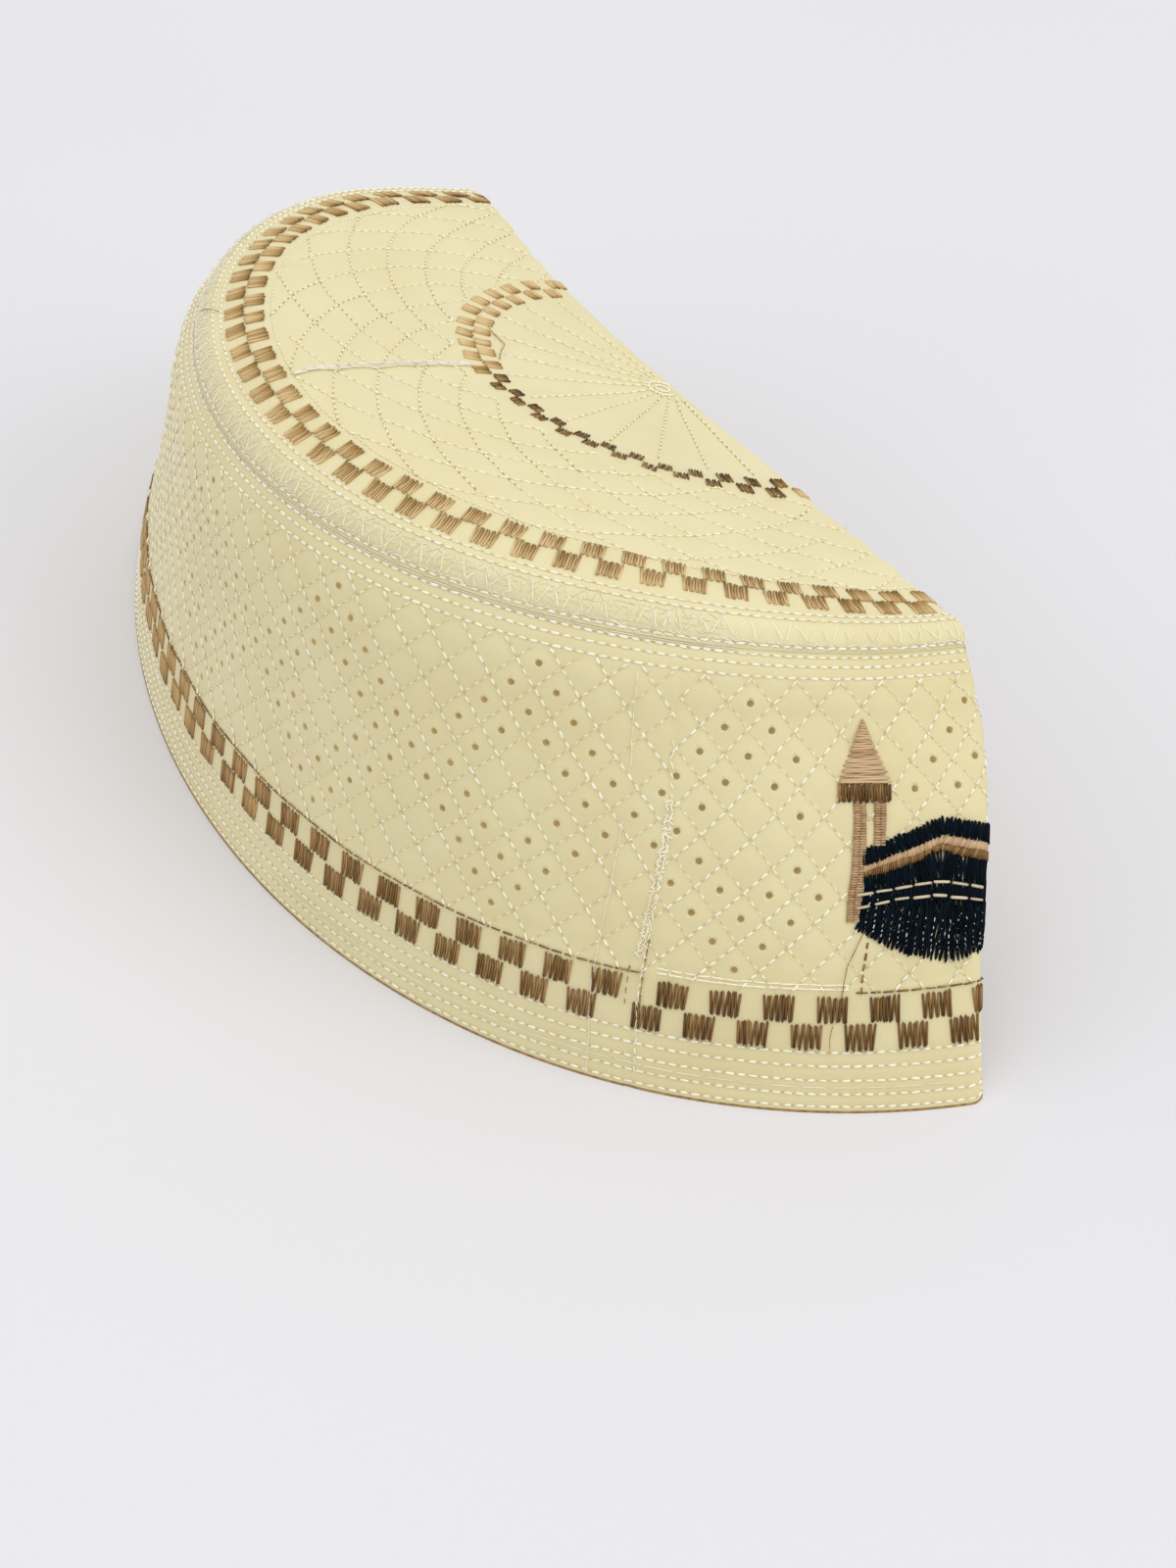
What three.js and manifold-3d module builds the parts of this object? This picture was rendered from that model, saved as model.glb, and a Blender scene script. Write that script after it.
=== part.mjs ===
// A quilted prayer cap of stiff laminated cloth, folded in half and standing on its rim.
// The back half is pushed into the front half, so the cap is a nest of two cloth layers that
// turn sharply along one fold: up the right end of the side band, across the middle of the
// crown and down the left end. Millimetres, +Z up. The front bows towards -Y, the fold and
// the hollow it leaves face +Y, and the rim stands on Z = 0.
import * as THREE from "three";
import { mergeVertices } from "three/addons/utils/BufferGeometryUtils.js";
import Module from "manifold-3d";

// Sewn sizes, measured along the cloth
const HEAD_SIZE = 570; // round the rim
const CENTRE_TO_RIM = 147.2; // from the crown's centre, over the shoulder, to the rim
const CROWN_EDGE = 79.8; // from the crown's centre to its stitched-down edge
const BAND_TOP = 75.4; // where the side band ends under the crown's edge

// Cloth
const CLOTH = 1.6; // quilted cloth, two layers and a stiffened core
const PRESSED_EDGE = 0.8; // the crown's edge where it laps over the band
const SEAM_GAP = 0.3; // left between the crown's edge and the band under it
const EDGE_RISE = 0.6; // how far the pressed edge stands proud of the crown
const EDGE_RAMP = [72.3, 74.7]; // where the crown thins to its pressed edge

// Fold
const FOLD_THICK = 5.2; // both layers together at the fold, over the decorated faces
const NEST_THICK = 7; // the same away from the fold, where the layers spring apart
const SPRING_REACH = 40; // distance from the fold at which they are fully apart

// Crown: a soft half disc that slopes down to the fold, seen from the front
const CROWN_CENTRE = new THREE.Vector3(-114.9, 20.7, 54.3);
const CROWN_SLOPE = THREE.MathUtils.degToRad(18);
const CROWN_REACH = 83; // the radius at which the rises below are given
const RISE = { foldEnds: 0.3, endsFront: 1, front: 0.8, frontTwist: -3.8, frontDroop: -7.3 };
const DIP = -1.5; // the crown sags a little round its stitched centre
const DIP_SPREAD = 43;

// Shoulder and wall
const SHOULDER_RADIUS = 17.9;
const SHOULDER_CORNER = 80.2; // crown radius at which crown and wall would meet unrounded
const CROWN_SLOPE_REACH = 6; // stretch of crown inside that corner which gives its slope there
const WALL_BULGE = { mean: 0.7, ends: 1.8 };

// Rim: its direction turns steadily from the right fold end to the left one
const RIM_TURN = {
  even: THREE.MathUtils.degToRad(52.7),
  tight: THREE.MathUtils.degToRad(16.6), // extra turn close to both ends
  lean: THREE.MathUtils.degToRad(-15.4), // the front bows a little more towards the right
  level: THREE.MathUtils.degToRad(12.7), // and the ends come back to an even turn
};

// Punched holes: two diamond rings of single holes, one inside the other, make a motif. Places
// are millimetres along the rim from the right fold end, and down the cloth from the centre.
const HOLE = { width: 1.2, sides: 6, above: 0.8, below: 3.2 };
const HOLE_STEP = { along: 3.77, down: 3.8 }; // to the next cell of the stitched lattice
const HOLE_RINGS = [3, 5]; // steps from a motif's middle to its two rings
const SEAM = 50.5; // the band's one seam, where the two ends of the pattern meet
const RIGHT_OF_SEAM = { firstMotif: 37.8, motifs: 1, middle: 107, lean: -0.066 };
const LEFT_OF_SEAM = { firstMotif: 74.6, motifs: 3, middle: 105.8, lean: 0.06 };
const MOTIF_PITCH = 2 * Math.max(...HOLE_RINGS) * HOLE_STEP.along;
const PICTURE = { side: 28, bottom: 113 }; // the embroidered picture keeps its corner free of holes

// Mesh
const FRONT_STEPS = 36; // columns along the front layer
const NESTED_STEPS = 24; // columns along the nested one
const FOLD_STEPS = 4; // columns round each fold
const RIM_SAMPLES = 480;
const CROWN_ROWS = [0, 10, 21, 32, 43, 53, 60, 66.5, ...EDGE_RAMP, 77.2, CROWN_EDGE];
const BAND_ROWS = [BAND_TOP, 78, 81, 85.5, 91, 100, 110, 120, 130, 139, CENTRE_TO_RIM];
const RIM_LEAD = 5; // the last stretch of wall, which is trimmed level
const SIDE_STEP = 0.01; // radians, for measuring directions round the cap
const DOWN_STEP = 0.4; // and down the cloth
const SAME_POINT = 1e-6; // corners closer than this are one corner

// The rim, walked from the right fold end: the front of the cap as a plan curve of known length.
const rimTable = (() => {
  const half = HEAD_SIZE / 4;
  const step = HEAD_SIZE / 2 / RIM_SAMPLES;
  const points = [new THREE.Vector3()];
  for (let i = 0; i < RIM_SAMPLES; i++) {
    const q = ((i + 0.5) * step) / half - 1;
    const even = RIM_TURN.even * q + RIM_TURN.tight * q ** 3;
    const turned = even + RIM_TURN.lean * (q ** 2 - 1 / 3) + RIM_TURN.level * (q ** 4 - 1 / 5);
    const last = points[i];
    points.push(new THREE.Vector3(last.x - step * Math.cos(turned), last.y + step * Math.sin(turned), 0));
  }
  return points;
})();

// side runs from 0 at the right fold end to PI at the left one, here and below.
function rimPoint(side) {
  const place = THREE.MathUtils.clamp(side / Math.PI, 0, 1) * RIM_SAMPLES;
  const i = Math.min(Math.floor(place), RIM_SAMPLES - 1);
  return rimTable[i].clone().lerp(rimTable[i + 1], place - i);
}

// The crown's surface at a place on the flat disc: along the fold, and forwards from it.
function crownPoint(along, forward) {
  const a = along / CROWN_REACH;
  const f = forward / CROWN_REACH;
  const rise =
    RISE.foldEnds * a * a +
    RISE.endsFront * a * a * f +
    RISE.front * f * f +
    RISE.frontTwist * a * f * f +
    RISE.frontDroop * f ** 3 +
    DIP * Math.exp(-(along * along + forward * forward) / DIP_SPREAD ** 2);
  return new THREE.Vector3(along, -forward, rise)
    .applyAxisAngle(new THREE.Vector3(1, 0, 0), -CROWN_SLOPE)
    .add(CROWN_CENTRE);
}

const crownAt = (radius, side) => crownPoint(radius * Math.cos(side), radius * Math.sin(side));

// One section through crown, shoulder and wall: the crown turns down on an arc, then runs to the rim.
function section(side) {
  const corner = crownAt(SHOULDER_CORNER, side);
  const rim = rimPoint(side);
  const down = rim.clone().sub(corner).normalize();
  let outward = corner.clone().sub(crownAt(SHOULDER_CORNER - CROWN_SLOPE_REACH, side)).normalize();
  const tangent = SHOULDER_RADIUS * Math.tan(outward.angleTo(down) / 2);
  const start = crownAt(SHOULDER_CORNER - tangent, side);
  outward = corner.clone().sub(start).normalize();
  const turn = outward.angleTo(down);
  const radius = tangent / Math.tan(turn / 2);
  const inward = down.clone().addScaledVector(outward, -down.dot(outward)).normalize();
  const wallTop = corner.clone().addScaledVector(down, tangent);
  const wallLength = wallTop.distanceTo(rim);
  const along = rimPoint(side + SIDE_STEP).sub(rimPoint(side - SIDE_STEP));
  const outside = along.cross(down).normalize();
  const bulge = WALL_BULGE.mean + WALL_BULGE.ends * Math.cos(2 * side);
  const flat = SHOULDER_CORNER - tangent;
  const stretch = (radius * turn + wallLength) / (CENTRE_TO_RIM - flat);
  return { start, outward, inward, radius, turn, wallTop, rim, wallLength, outside, bulge, flat, stretch };
}

// The decorated face of the front half: side as above, down measured along the cloth from the centre.
function frontPoint(side, down) {
  const s = section(side);
  if (down <= s.flat) return crownAt(down, side);
  const past = (down - s.flat) * s.stretch;
  const arc = s.radius * s.turn;
  if (past <= arc) {
    const angle = past / s.radius;
    return s.start
      .clone()
      .addScaledVector(s.outward, s.radius * Math.sin(angle))
      .addScaledVector(s.inward, s.radius * (1 - Math.cos(angle)));
  }
  const part = (past - arc) / s.wallLength;
  return s.wallTop
    .clone()
    .lerp(s.rim, part)
    .addScaledVector(s.outside, s.bulge * Math.sin(Math.PI * part));
}

// Directions on that face: out of the cloth, and sideways in the sense of growing side.
function frontFrame(side, down) {
  const flat = section(side).flat;
  if (down < flat - DOWN_STEP) {
    const along = down * Math.cos(side);
    const forward = down * Math.sin(side);
    const across = crownPoint(along + DOWN_STEP, forward).sub(crownPoint(along - DOWN_STEP, forward));
    const ahead = crownPoint(along, forward + DOWN_STEP).sub(crownPoint(along, forward - DOWN_STEP));
    const out = ahead.clone().cross(across).normalize();
    return { out, fold: ahead.negate().addScaledVector(out, ahead.dot(out)).normalize() };
  }
  const lower = Math.max(side - SIDE_STEP, 0);
  const upper = Math.min(side + SIDE_STEP, Math.PI);
  const sideways = frontPoint(upper, down).sub(frontPoint(lower, down));
  const above = frontPoint(side, down - DOWN_STEP);
  const downwards = frontPoint(side, Math.min(down + DOWN_STEP, CENTRE_TO_RIM)).sub(above);
  const out = sideways.clone().cross(downwards).normalize();
  const fold = sideways.multiplyScalar(side < Math.PI / 2 ? -1 : 1);
  return { out, fold: fold.addScaledVector(out, -fold.dot(out)).normalize() };
}

// How thick both layers are together over their decorated faces.
function nestThickness(side, down) {
  const away = THREE.MathUtils.smoothstep(down * Math.sin(side), 0, SPRING_REACH);
  return FOLD_THICK + (NEST_THICK - FOLD_THICK) * away;
}

// A point of the folded cloth. turn is 0 on the front layer, PI on the nested one and between on
// the fold. lift is the distance from the decorated face, outwards.
function clothPoint(column, down, lift) {
  const { out, fold } = frontFrame(column.side, down);
  const half = nestThickness(column.side, down) / 2;
  const reach = half + lift;
  return frontPoint(column.side, down)
    .addScaledVector(out, -half + reach * Math.cos(column.turn))
    .addScaledVector(fold, reach * Math.sin(column.turn));
}

// The columns of the closed loop: front layer, left fold, nested layer, right fold.
const COLUMNS = (() => {
  const steps = (count, column) => Array.from({ length: count }, (_, i) => column((Math.PI * i) / count));
  return [
    ...steps(FRONT_STEPS, (angle) => ({ side: angle, turn: 0 })),
    ...steps(FOLD_STEPS, (angle) => ({ side: Math.PI, turn: angle })),
    ...steps(NESTED_STEPS, (angle) => ({ side: Math.PI - angle, turn: Math.PI })),
    ...steps(FOLD_STEPS, (angle) => ({ side: 0, turn: Math.PI - angle })),
  ];
})();

// The last row of the band is cut level, so that the cap stands flat.
function levelPoint(column, lift) {
  const above = clothPoint(column, CENTRE_TO_RIM - RIM_LEAD, lift);
  const below = clothPoint(column, CENTRE_TO_RIM, lift);
  const level = above.clone().lerp(below, above.z / (above.z - below.z));
  level.z = 0;
  return level;
}

// One closed solid of cloth: a decorated face, a lining face and the cut edges between them.
function clothSolid(rows, faceLift, liningLift, pointAt) {
  const faces = [faceLift, liningLift].map((liftAt) =>
    rows.map((down) => COLUMNS.map((column) => pointAt(column, down, liftAt(down)))),
  );
  const positions = [];
  const apart = (a, b) => a.distanceTo(b) > SAME_POINT;
  const triangle = (a, b, c) => {
    if (apart(a, b) && apart(b, c) && apart(c, a)) {
      for (const p of [a, b, c]) positions.push(p.x, p.y, p.z);
    }
  };
  const quad = (a, b, c, d) => {
    triangle(a, b, c);
    triangle(a, c, d);
  };
  const count = COLUMNS.length;
  const [face, lining] = faces;
  const last = rows.length - 1;
  for (let i = 0; i < count; i++) {
    const next = (i + 1) % count;
    for (let j = 0; j < last; j++) {
      quad(face[j][i], face[j][next], face[j + 1][next], face[j + 1][i]);
      quad(lining[j][i], lining[j + 1][i], lining[j + 1][next], lining[j][next]);
    }
    quad(face[last][i], face[last][next], lining[last][next], lining[last][i]);
    if (rows[0] > 0) quad(face[0][i], lining[0][i], lining[0][next], face[0][next]);
  }
  const geometry = new THREE.BufferGeometry();
  geometry.setAttribute("position", new THREE.Float32BufferAttribute(positions, 3));
  geometry.computeVertexNormals();
  return geometry;
}

const ramp = (from, to) => (down) => THREE.MathUtils.mapLinear(
  THREE.MathUtils.clamp(down, ...EDGE_RAMP), ...EDGE_RAMP, from, to,
);

const crownGeometry = () => clothSolid(
  CROWN_ROWS, ramp(0, EDGE_RISE), ramp(-CLOTH, EDGE_RISE - PRESSED_EDGE), clothPoint,
);

const bandGeometry = () => {
  const face = EDGE_RISE - PRESSED_EDGE - SEAM_GAP;
  const pointAt = (column, down, lift) =>
    down === CENTRE_TO_RIM ? levelPoint(column, lift) : clothPoint(column, down, lift);
  return clothSolid(BAND_ROWS, () => face, () => face - CLOTH, pointAt);
};

// The places of the punched holes on one side of the seam. Neighbouring motifs share a hole.
function holePlaces({ firstMotif, motifs, middle, lean }) {
  const places = [];
  for (let motif = 0; motif < motifs; motif++) {
    for (const ring of HOLE_RINGS) {
      const first = motif > 0 && ring === Math.max(...HOLE_RINGS) ? 1 - ring : -ring;
      for (let step = first; step <= ring; step++) {
        const rows = ring - Math.abs(step);
        for (const row of new Set([-rows, rows])) {
          const drop = row * HOLE_STEP.down;
          const along = firstMotif + motif * MOTIF_PITCH + step * HOLE_STEP.along + lean * drop;
          places.push({ along, down: middle + drop });
        }
      }
    }
  }
  return places;
}

const clearOfPicture = ({ along, down }) =>
  along > PICTURE.side || (along > PICTURE.side - HOLE_STEP.along && down > PICTURE.bottom);

const HOLES = [
  ...holePlaces(RIGHT_OF_SEAM).filter((place) => place.along < SEAM && clearOfPicture(place)),
  ...holePlaces(LEFT_OF_SEAM),
];

const wasm = await Module();
wasm.setup();

function toSolid(geometry) {
  const bare = new THREE.BufferGeometry().setAttribute("position", geometry.getAttribute("position"));
  bare.setIndex(geometry.index);
  const merged = mergeVertices(bare);
  const vertProperties = merged.getAttribute("position").array;
  return new wasm.Manifold(new wasm.Mesh({ numProp: 3, vertProperties, triVerts: merged.index.array }));
}

function toGeometry(solid) {
  const mesh = solid.getMesh();
  const geometry = new THREE.BufferGeometry();
  geometry.setAttribute("position", new THREE.Float32BufferAttribute(mesh.vertProperties, 3));
  geometry.setIndex(new THREE.Uint32BufferAttribute(mesh.triVerts, 1));
  geometry.computeVertexNormals();
  return geometry;
}

// A six-sided punch through the front layer at one place, square to the cloth.
function punch({ along, down }) {
  const side = (Math.PI * along) / (HEAD_SIZE / 2);
  const { out } = frontFrame(side, down);
  const length = HOLE.above + HOLE.below;
  const geometry = new THREE.CylinderGeometry(HOLE.width / 2, HOLE.width / 2, length, HOLE.sides);
  geometry.applyQuaternion(new THREE.Quaternion().setFromUnitVectors(new THREE.Vector3(0, 1, 0), out));
  const middle = frontPoint(side, down).addScaledVector(out, HOLE.above - length / 2);
  geometry.translate(middle.x, middle.y, middle.z);
  return toSolid(geometry);
}

const punchedBand = () => toGeometry(HOLES.reduce(
  (band, place) => band.subtract(punch(place)),
  toSolid(bandGeometry()),
));

const clothMaterial = (color) => new THREE.MeshStandardMaterial({ color, roughness: 0.62, metalness: 0 });

const crown = new THREE.Mesh(crownGeometry(), clothMaterial(0xede3b4));
crown.name = "crown";

const sideBand = new THREE.Mesh(punchedBand(), clothMaterial(0xe2d8a6));
sideBand.name = "side_band";

const cap = new THREE.Group();
cap.name = "prayer_cap";
cap.add(crown, sideBand);

// The origin is under the middle of the folded cap, on the surface that it stands on.
const middle = new THREE.Box3().setFromObject(cap).getCenter(new THREE.Vector3());
for (const mesh of cap.children) mesh.position.set(-middle.x, -middle.y, 0);

export default cap;
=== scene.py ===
import math

import bmesh
import bpy
import numpy as np
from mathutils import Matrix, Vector


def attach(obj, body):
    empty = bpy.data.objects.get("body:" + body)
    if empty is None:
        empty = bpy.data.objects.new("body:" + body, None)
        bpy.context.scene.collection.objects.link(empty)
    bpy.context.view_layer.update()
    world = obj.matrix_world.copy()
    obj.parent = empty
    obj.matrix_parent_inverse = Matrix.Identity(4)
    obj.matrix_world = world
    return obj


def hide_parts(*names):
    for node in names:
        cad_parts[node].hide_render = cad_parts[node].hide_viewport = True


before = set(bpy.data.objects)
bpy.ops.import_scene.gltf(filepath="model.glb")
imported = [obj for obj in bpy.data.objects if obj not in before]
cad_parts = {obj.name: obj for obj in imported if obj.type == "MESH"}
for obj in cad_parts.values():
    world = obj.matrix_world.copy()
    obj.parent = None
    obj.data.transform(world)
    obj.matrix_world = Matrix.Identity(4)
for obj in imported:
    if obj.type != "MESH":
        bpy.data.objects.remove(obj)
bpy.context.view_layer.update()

# Lengths are millimetres until a mesh is made. A place on the cloth is given by around, measured
# along the rim from the right fold end over the front, and down, measured from the crown's centre.
MM = 0.001

# Sewn sizes
HEAD_SIZE = 570.0
CENTRE_TO_RIM = 147.2
CROWN_EDGE = 79.8
BAND_TOP = 75.4

# Cloth
CLOTH = 1.6
PRESSED_EDGE = 0.8
SEAM_GAP = 0.3
EDGE_RISE = 0.6
EDGE_RAMP = (72.3, 74.7)
EDGE_PRESSED = (76.0, CROWN_EDGE)
EDGE_PRESS_FACE, EDGE_PRESS_LINING = 0.98, 0.22  # how far each side goes down there
BAND_FACE = EDGE_RISE - PRESSED_EDGE - SEAM_GAP

# Fold
FOLD_THICK = 5.2
NEST_THICK = 7.0
SPRING_REACH = 40.0
FRONT = HEAD_SIZE / 2
FOLD_ARC = 7.0  # cloth taken up by each turn of the fold
LOOP = 2 * FRONT + 2 * FOLD_ARC

# Crown
CROWN_CENTRE = np.array([-114.9, 20.7, 54.3])
CROWN_SLOPE = math.radians(18)
CROWN_REACH = 83.0  # the radius at which the rises below are given
CROWN_RISE = dict(fold_ends=0.3, ends_front=1.0, front=0.8, front_twist=-3.8, front_droop=-7.3)
DIP = -1.5
DIP_SPREAD = 43.0

# The soft cloth's ends, off the plain shape
RIGHT_END = (52, 84)  # the stretch along x over which the right end's softness grows
LEFT_END = (34, 80)  # the same for the left end, along minus x
LEFT_BACK = (18, 42)  # and along y
RIGHT_SINK = 1.1
RIGHT_ROUND = (1.2, 49.0, 7.0)  # how far in, at which height, and over how wide a stretch
RIGHT_BULGE = (1.0, 38.0, 10.0)
RIGHT_TUCK = (0.7, 14.0, 9.0)
RIGHT_WAY = (0.52, 0.85)  # the way the right end faces, seen from above
LEFT_SINK = 2.6
LEFT_LEAN = 5.7

# Shoulder and wall
SHOULDER_RADIUS = 17.9
SHOULDER_CORNER = 80.2
CROWN_SLOPE_REACH = 6.0
WALL_BULGE_MEAN = 0.7
WALL_BULGE_ENDS = 1.8

# Rim
TURN_EVEN, TURN_TIGHT, TURN_LEAN, TURN_LEVEL = np.radians([52.7, 16.6, -15.4, 12.7])
RIM_SAMPLES = 480
RIM_LEAD = 5.0
SIDE_STEP = 0.01
DOWN_STEP = 0.4

# Band pattern
SEAM = 50.5
HIDDEN_STRETCH = (300.0, 550.0)  # on the hidden half the pattern is eased to close at the seam
HIDDEN_EASE = 19.4
HIDDEN_LOWER = 2.9  # the hidden half sits this much lower, so that its holes aren't behind those in front
CELL = (7.54, 7.6)  # stitched diamonds, along and down
MOTIF_MIDDLE = (74.6, 105.8)
MOTIF_MIDDLE_RIGHT = 107.0
LEAN_LEFT, LEAN_RIGHT = 0.06, -0.066
LATTICE = (84.6, 128.0)
QUILT_DEPTH = 0.36  # how far the stitched lines lie below the cloth between them
BOLD_SWAP = 430.0  # past here the diamonds' other lines are the bold ones
HOLE_WIDTH = 1.05
PUNCH_SIDES = 8
PUNCH_REACH = (0.8, -3.0)  # out of the face and into the cloth
HOLE_RINGS = (3, 5)
MOTIF_CELLS = 5
BLOCK_PITCH = 7.92
UPPER_BLOCKS = (55.2, 131.2)
LOWER_BLOCKS = (58.75, 135.35)
BLOCK_SIZE = (4.1, 4.1)  # along the rim and down
BORDER_LINE = 128.6
BORDER_WHITE_LINES = (127.5, 128.1)
LONG_STITCH_ROWS = ((80.0, 45, 205), (80.3, 45, 205), (143.0, 5, 120))  # down, start and stop
SHOULDER_ROWS = (80.5, 82.0, 83.8)
HEM_ROWS = (137.7, 139.8, 142.0, 144.2, 146.2)

# Crown pattern, with places given by an angle from the right fold end and a radius
RING_OUTER = (68.2, 71.4)
RING_INNER = (33.0, 36.0)
RING_SQUASH = 0.94  # the inner ring is a little narrower from front to back
OUTER_BLOCK = math.radians(5.0)
OUTER_FIRST = math.radians(3.7)
OUTER_BLOCKS = 72
OUTER_SIZE = (4.0, 3.3)  # of a block, round the ring and across it
OUTER_DENT = (1.3, 28.0, 18.0)  # millimetres inwards, at which angle in degrees, and how widely
OUTER_DRIFT = (1.25, 0.0, 17.0)  # degrees onwards, in the same way
INNER_BLOCKS = 44
INNER_BLOCK = math.radians(360 / INNER_BLOCKS)
INNER_FIRST = math.radians(11.2)
INNER_SIZE = (5.2, 3.0)
INNER_DRIFT = (2.6, 100.0, 17.0)
INNER_PINCH = 0.36  # the share by which a crease narrows the inner ring over the front
BORDER_ROWS = (73.6, 74.9, 79.1)
EDGE_ROWS = (78.7, 79.2)
FUZZ_ROWS = (75.8, 76.5, 77.3, 78.1)
ZIGZAG_ROW = 77.0
RING_LINE = 65.4
RING_LINE_GROOVE = 65.6
CURVE_PITCH = math.radians(15)
CURVE_PHASE = math.radians(8)
CURVE_TURN = math.radians(2.04)  # for each millimetre of radius
CURVES = (36.9, 65.2)
SPOKES = (4.5, 29.0)
SPOKE_COUNT = 24
ROSETTE = (0.5, 2.2)

# Picture
ROOF = dict(apex=(20.2, 90.0), base=98.3, left=24.2, right=16.4)
COLUMNS = (
    dict(top=(21.2, 101.0), foot=(20.1, 118.0), width=1.95),
    dict(top=(17.8, 101.0), foot=(17.6, 107.0), width=1.8),
)
BUILDING = dict(
    top=((-12, 108.2), (0, 105.0), (7, 103.5), (20, 107.5)),
    band_top=((-12, 111.2), (0, 108.0), (7, 106.3), (19.5, 110.0)),
    band_foot=((-12, 113.7), (0, 110.5), (7, 108.6), (19.5, 111.8)),
    foot=((-12, 120.4), (-6, 122.7), (0, 124.0), (4, 124.5), (10, 123.2), (15, 121.2), (19.4, 119.0)),
    lines=(
        ((0.4, 114.4), (6, 113.0), (10, 113.0), (19, 114.0)),
        ((0.4, 116.3), (7, 114.9), (13, 114.9), (19, 115.9)),
    ),
    left=-12.0,
    right=dict(top=20.2, band=19.6, foot=19.4),
)


def unit(v):
    return v / np.maximum(np.linalg.norm(v, axis=-1, keepdims=True), 1e-12)


def dot(a, b):
    return (a * b).sum(-1)


def angle_between(a, b):
    return np.arctan2(np.linalg.norm(np.cross(a, b), axis=-1), dot(a, b))


def smoothstep(x, low, high):
    x = np.clip((x - low) / (high - low), 0, 1)
    return x * x * (3 - 2 * x)


def between(x, rise, fall):
    """1 between two soft edges and 0 outside them; each edge is where it starts and ends."""
    return smoothstep(x, *rise) * (1 - smoothstep(x, *fall))


def bump(x, size):
    reach, middle, width = size
    return reach * np.exp(-(((x - middle) / width) ** 2))


# The cap's surface, worked out as the part's own source does


def rim_curve():
    half = HEAD_SIZE / 4
    step = HEAD_SIZE / 2 / RIM_SAMPLES
    q = (np.arange(RIM_SAMPLES) + 0.5) * step / half - 1
    turned = TURN_EVEN * q + TURN_TIGHT * q**3 + TURN_LEAN * (q**2 - 1 / 3) + TURN_LEVEL * (q**4 - 1 / 5)
    points = np.zeros((RIM_SAMPLES + 1, 3))
    points[1:, 0] = np.cumsum(-step * np.cos(turned))
    points[1:, 1] = np.cumsum(step * np.sin(turned))
    return points


RIM = rim_curve()
RIM_SIDES = np.linspace(0, math.pi, RIM_SAMPLES + 1)


def rim_point(side):
    return np.stack([np.interp(side, RIM_SIDES, RIM[:, k]) for k in range(3)], -1)


def crown_point(along, forward):
    a = along / CROWN_REACH
    f = forward / CROWN_REACH
    dip = DIP * np.exp(-(along**2 + forward**2) / DIP_SPREAD**2)
    rise = CROWN_RISE["fold_ends"] * a * a + CROWN_RISE["ends_front"] * a * a * f
    rise = rise + CROWN_RISE["front"] * f * f + CROWN_RISE["front_twist"] * a * f * f
    rise = rise + CROWN_RISE["front_droop"] * f**3 + dip
    cos, sin = math.cos(CROWN_SLOPE), math.sin(CROWN_SLOPE)
    return np.stack([along, -(forward * cos - rise * sin), forward * sin + rise * cos], -1) + CROWN_CENTRE


def crown_at(radius, side):
    return crown_point(radius * np.cos(side), radius * np.sin(side))


def front_point(side, down):
    """Places on the front layer's crown, shoulder and wall, and how far down the crown ends."""
    side, down = np.broadcast_arrays(side, down)
    corner = crown_at(SHOULDER_CORNER, side)
    rim = rim_point(side)
    drop = unit(rim - corner)
    outward = unit(corner - crown_at(SHOULDER_CORNER - CROWN_SLOPE_REACH, side))
    tangent = SHOULDER_RADIUS * np.tan(angle_between(outward, drop) / 2)
    start = crown_at(SHOULDER_CORNER - tangent, side)
    outward = unit(corner - start)
    turn = angle_between(outward, drop)
    radius = tangent / np.tan(turn / 2)
    inward = unit(drop - outward * dot(drop, outward)[..., None])
    wall_top = corner + drop * tangent[..., None]
    wall = np.linalg.norm(rim - wall_top, axis=-1)
    along = rim_point(side + SIDE_STEP) - rim_point(side - SIDE_STEP)
    outside = unit(np.cross(along, drop))
    bulge = WALL_BULGE_MEAN + WALL_BULGE_ENDS * np.cos(2 * side)
    flat = SHOULDER_CORNER - tangent
    past = (down - flat) * (radius * turn + wall) / (CENTRE_TO_RIM - flat)
    arc = radius * turn
    angle = np.clip(past, 0, arc) / radius
    on_arc = start + outward * (radius * np.sin(angle))[..., None]
    on_arc = on_arc + inward * (radius * (1 - np.cos(angle)))[..., None]
    part = ((past - arc) / wall)[..., None]
    on_wall = wall_top + (rim - wall_top) * part
    on_wall = on_wall + outside * bulge[..., None] * np.sin(math.pi * np.clip(part, 0, 1))
    below = np.where((past <= arc)[..., None], on_arc, on_wall)
    return np.where((down <= flat)[..., None], crown_at(down, side), below), flat


def front_frame(side, down):
    """Directions out of the front layer, and along it towards the nearer fold."""
    side, down = np.broadcast_arrays(side, down)
    flat = front_point(side, down)[1]
    along, forward = down * np.cos(side), down * np.sin(side)
    across = crown_point(along + DOWN_STEP, forward) - crown_point(along - DOWN_STEP, forward)
    ahead = crown_point(along, forward + DOWN_STEP) - crown_point(along, forward - DOWN_STEP)
    crown_out = unit(np.cross(ahead, across))
    crown_fold = unit(-ahead + crown_out * dot(ahead, crown_out)[..., None])
    lower, upper = np.maximum(side - SIDE_STEP, 0), np.minimum(side + SIDE_STEP, math.pi)
    sideways = front_point(upper, down)[0] - front_point(lower, down)[0]
    downwards = front_point(side, np.minimum(down + DOWN_STEP, CENTRE_TO_RIM))[0]
    downwards = downwards - front_point(side, down - DOWN_STEP)[0]
    wall_out = unit(np.cross(sideways, downwards))
    wall_fold = sideways * np.where(side < math.pi / 2, -1, 1)[..., None]
    wall_fold = unit(wall_fold - wall_out * dot(wall_fold, wall_out)[..., None])
    on_crown = (down < flat - DOWN_STEP)[..., None]
    return np.where(on_crown, crown_out, wall_out), np.where(on_crown, crown_fold, wall_fold)


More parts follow.
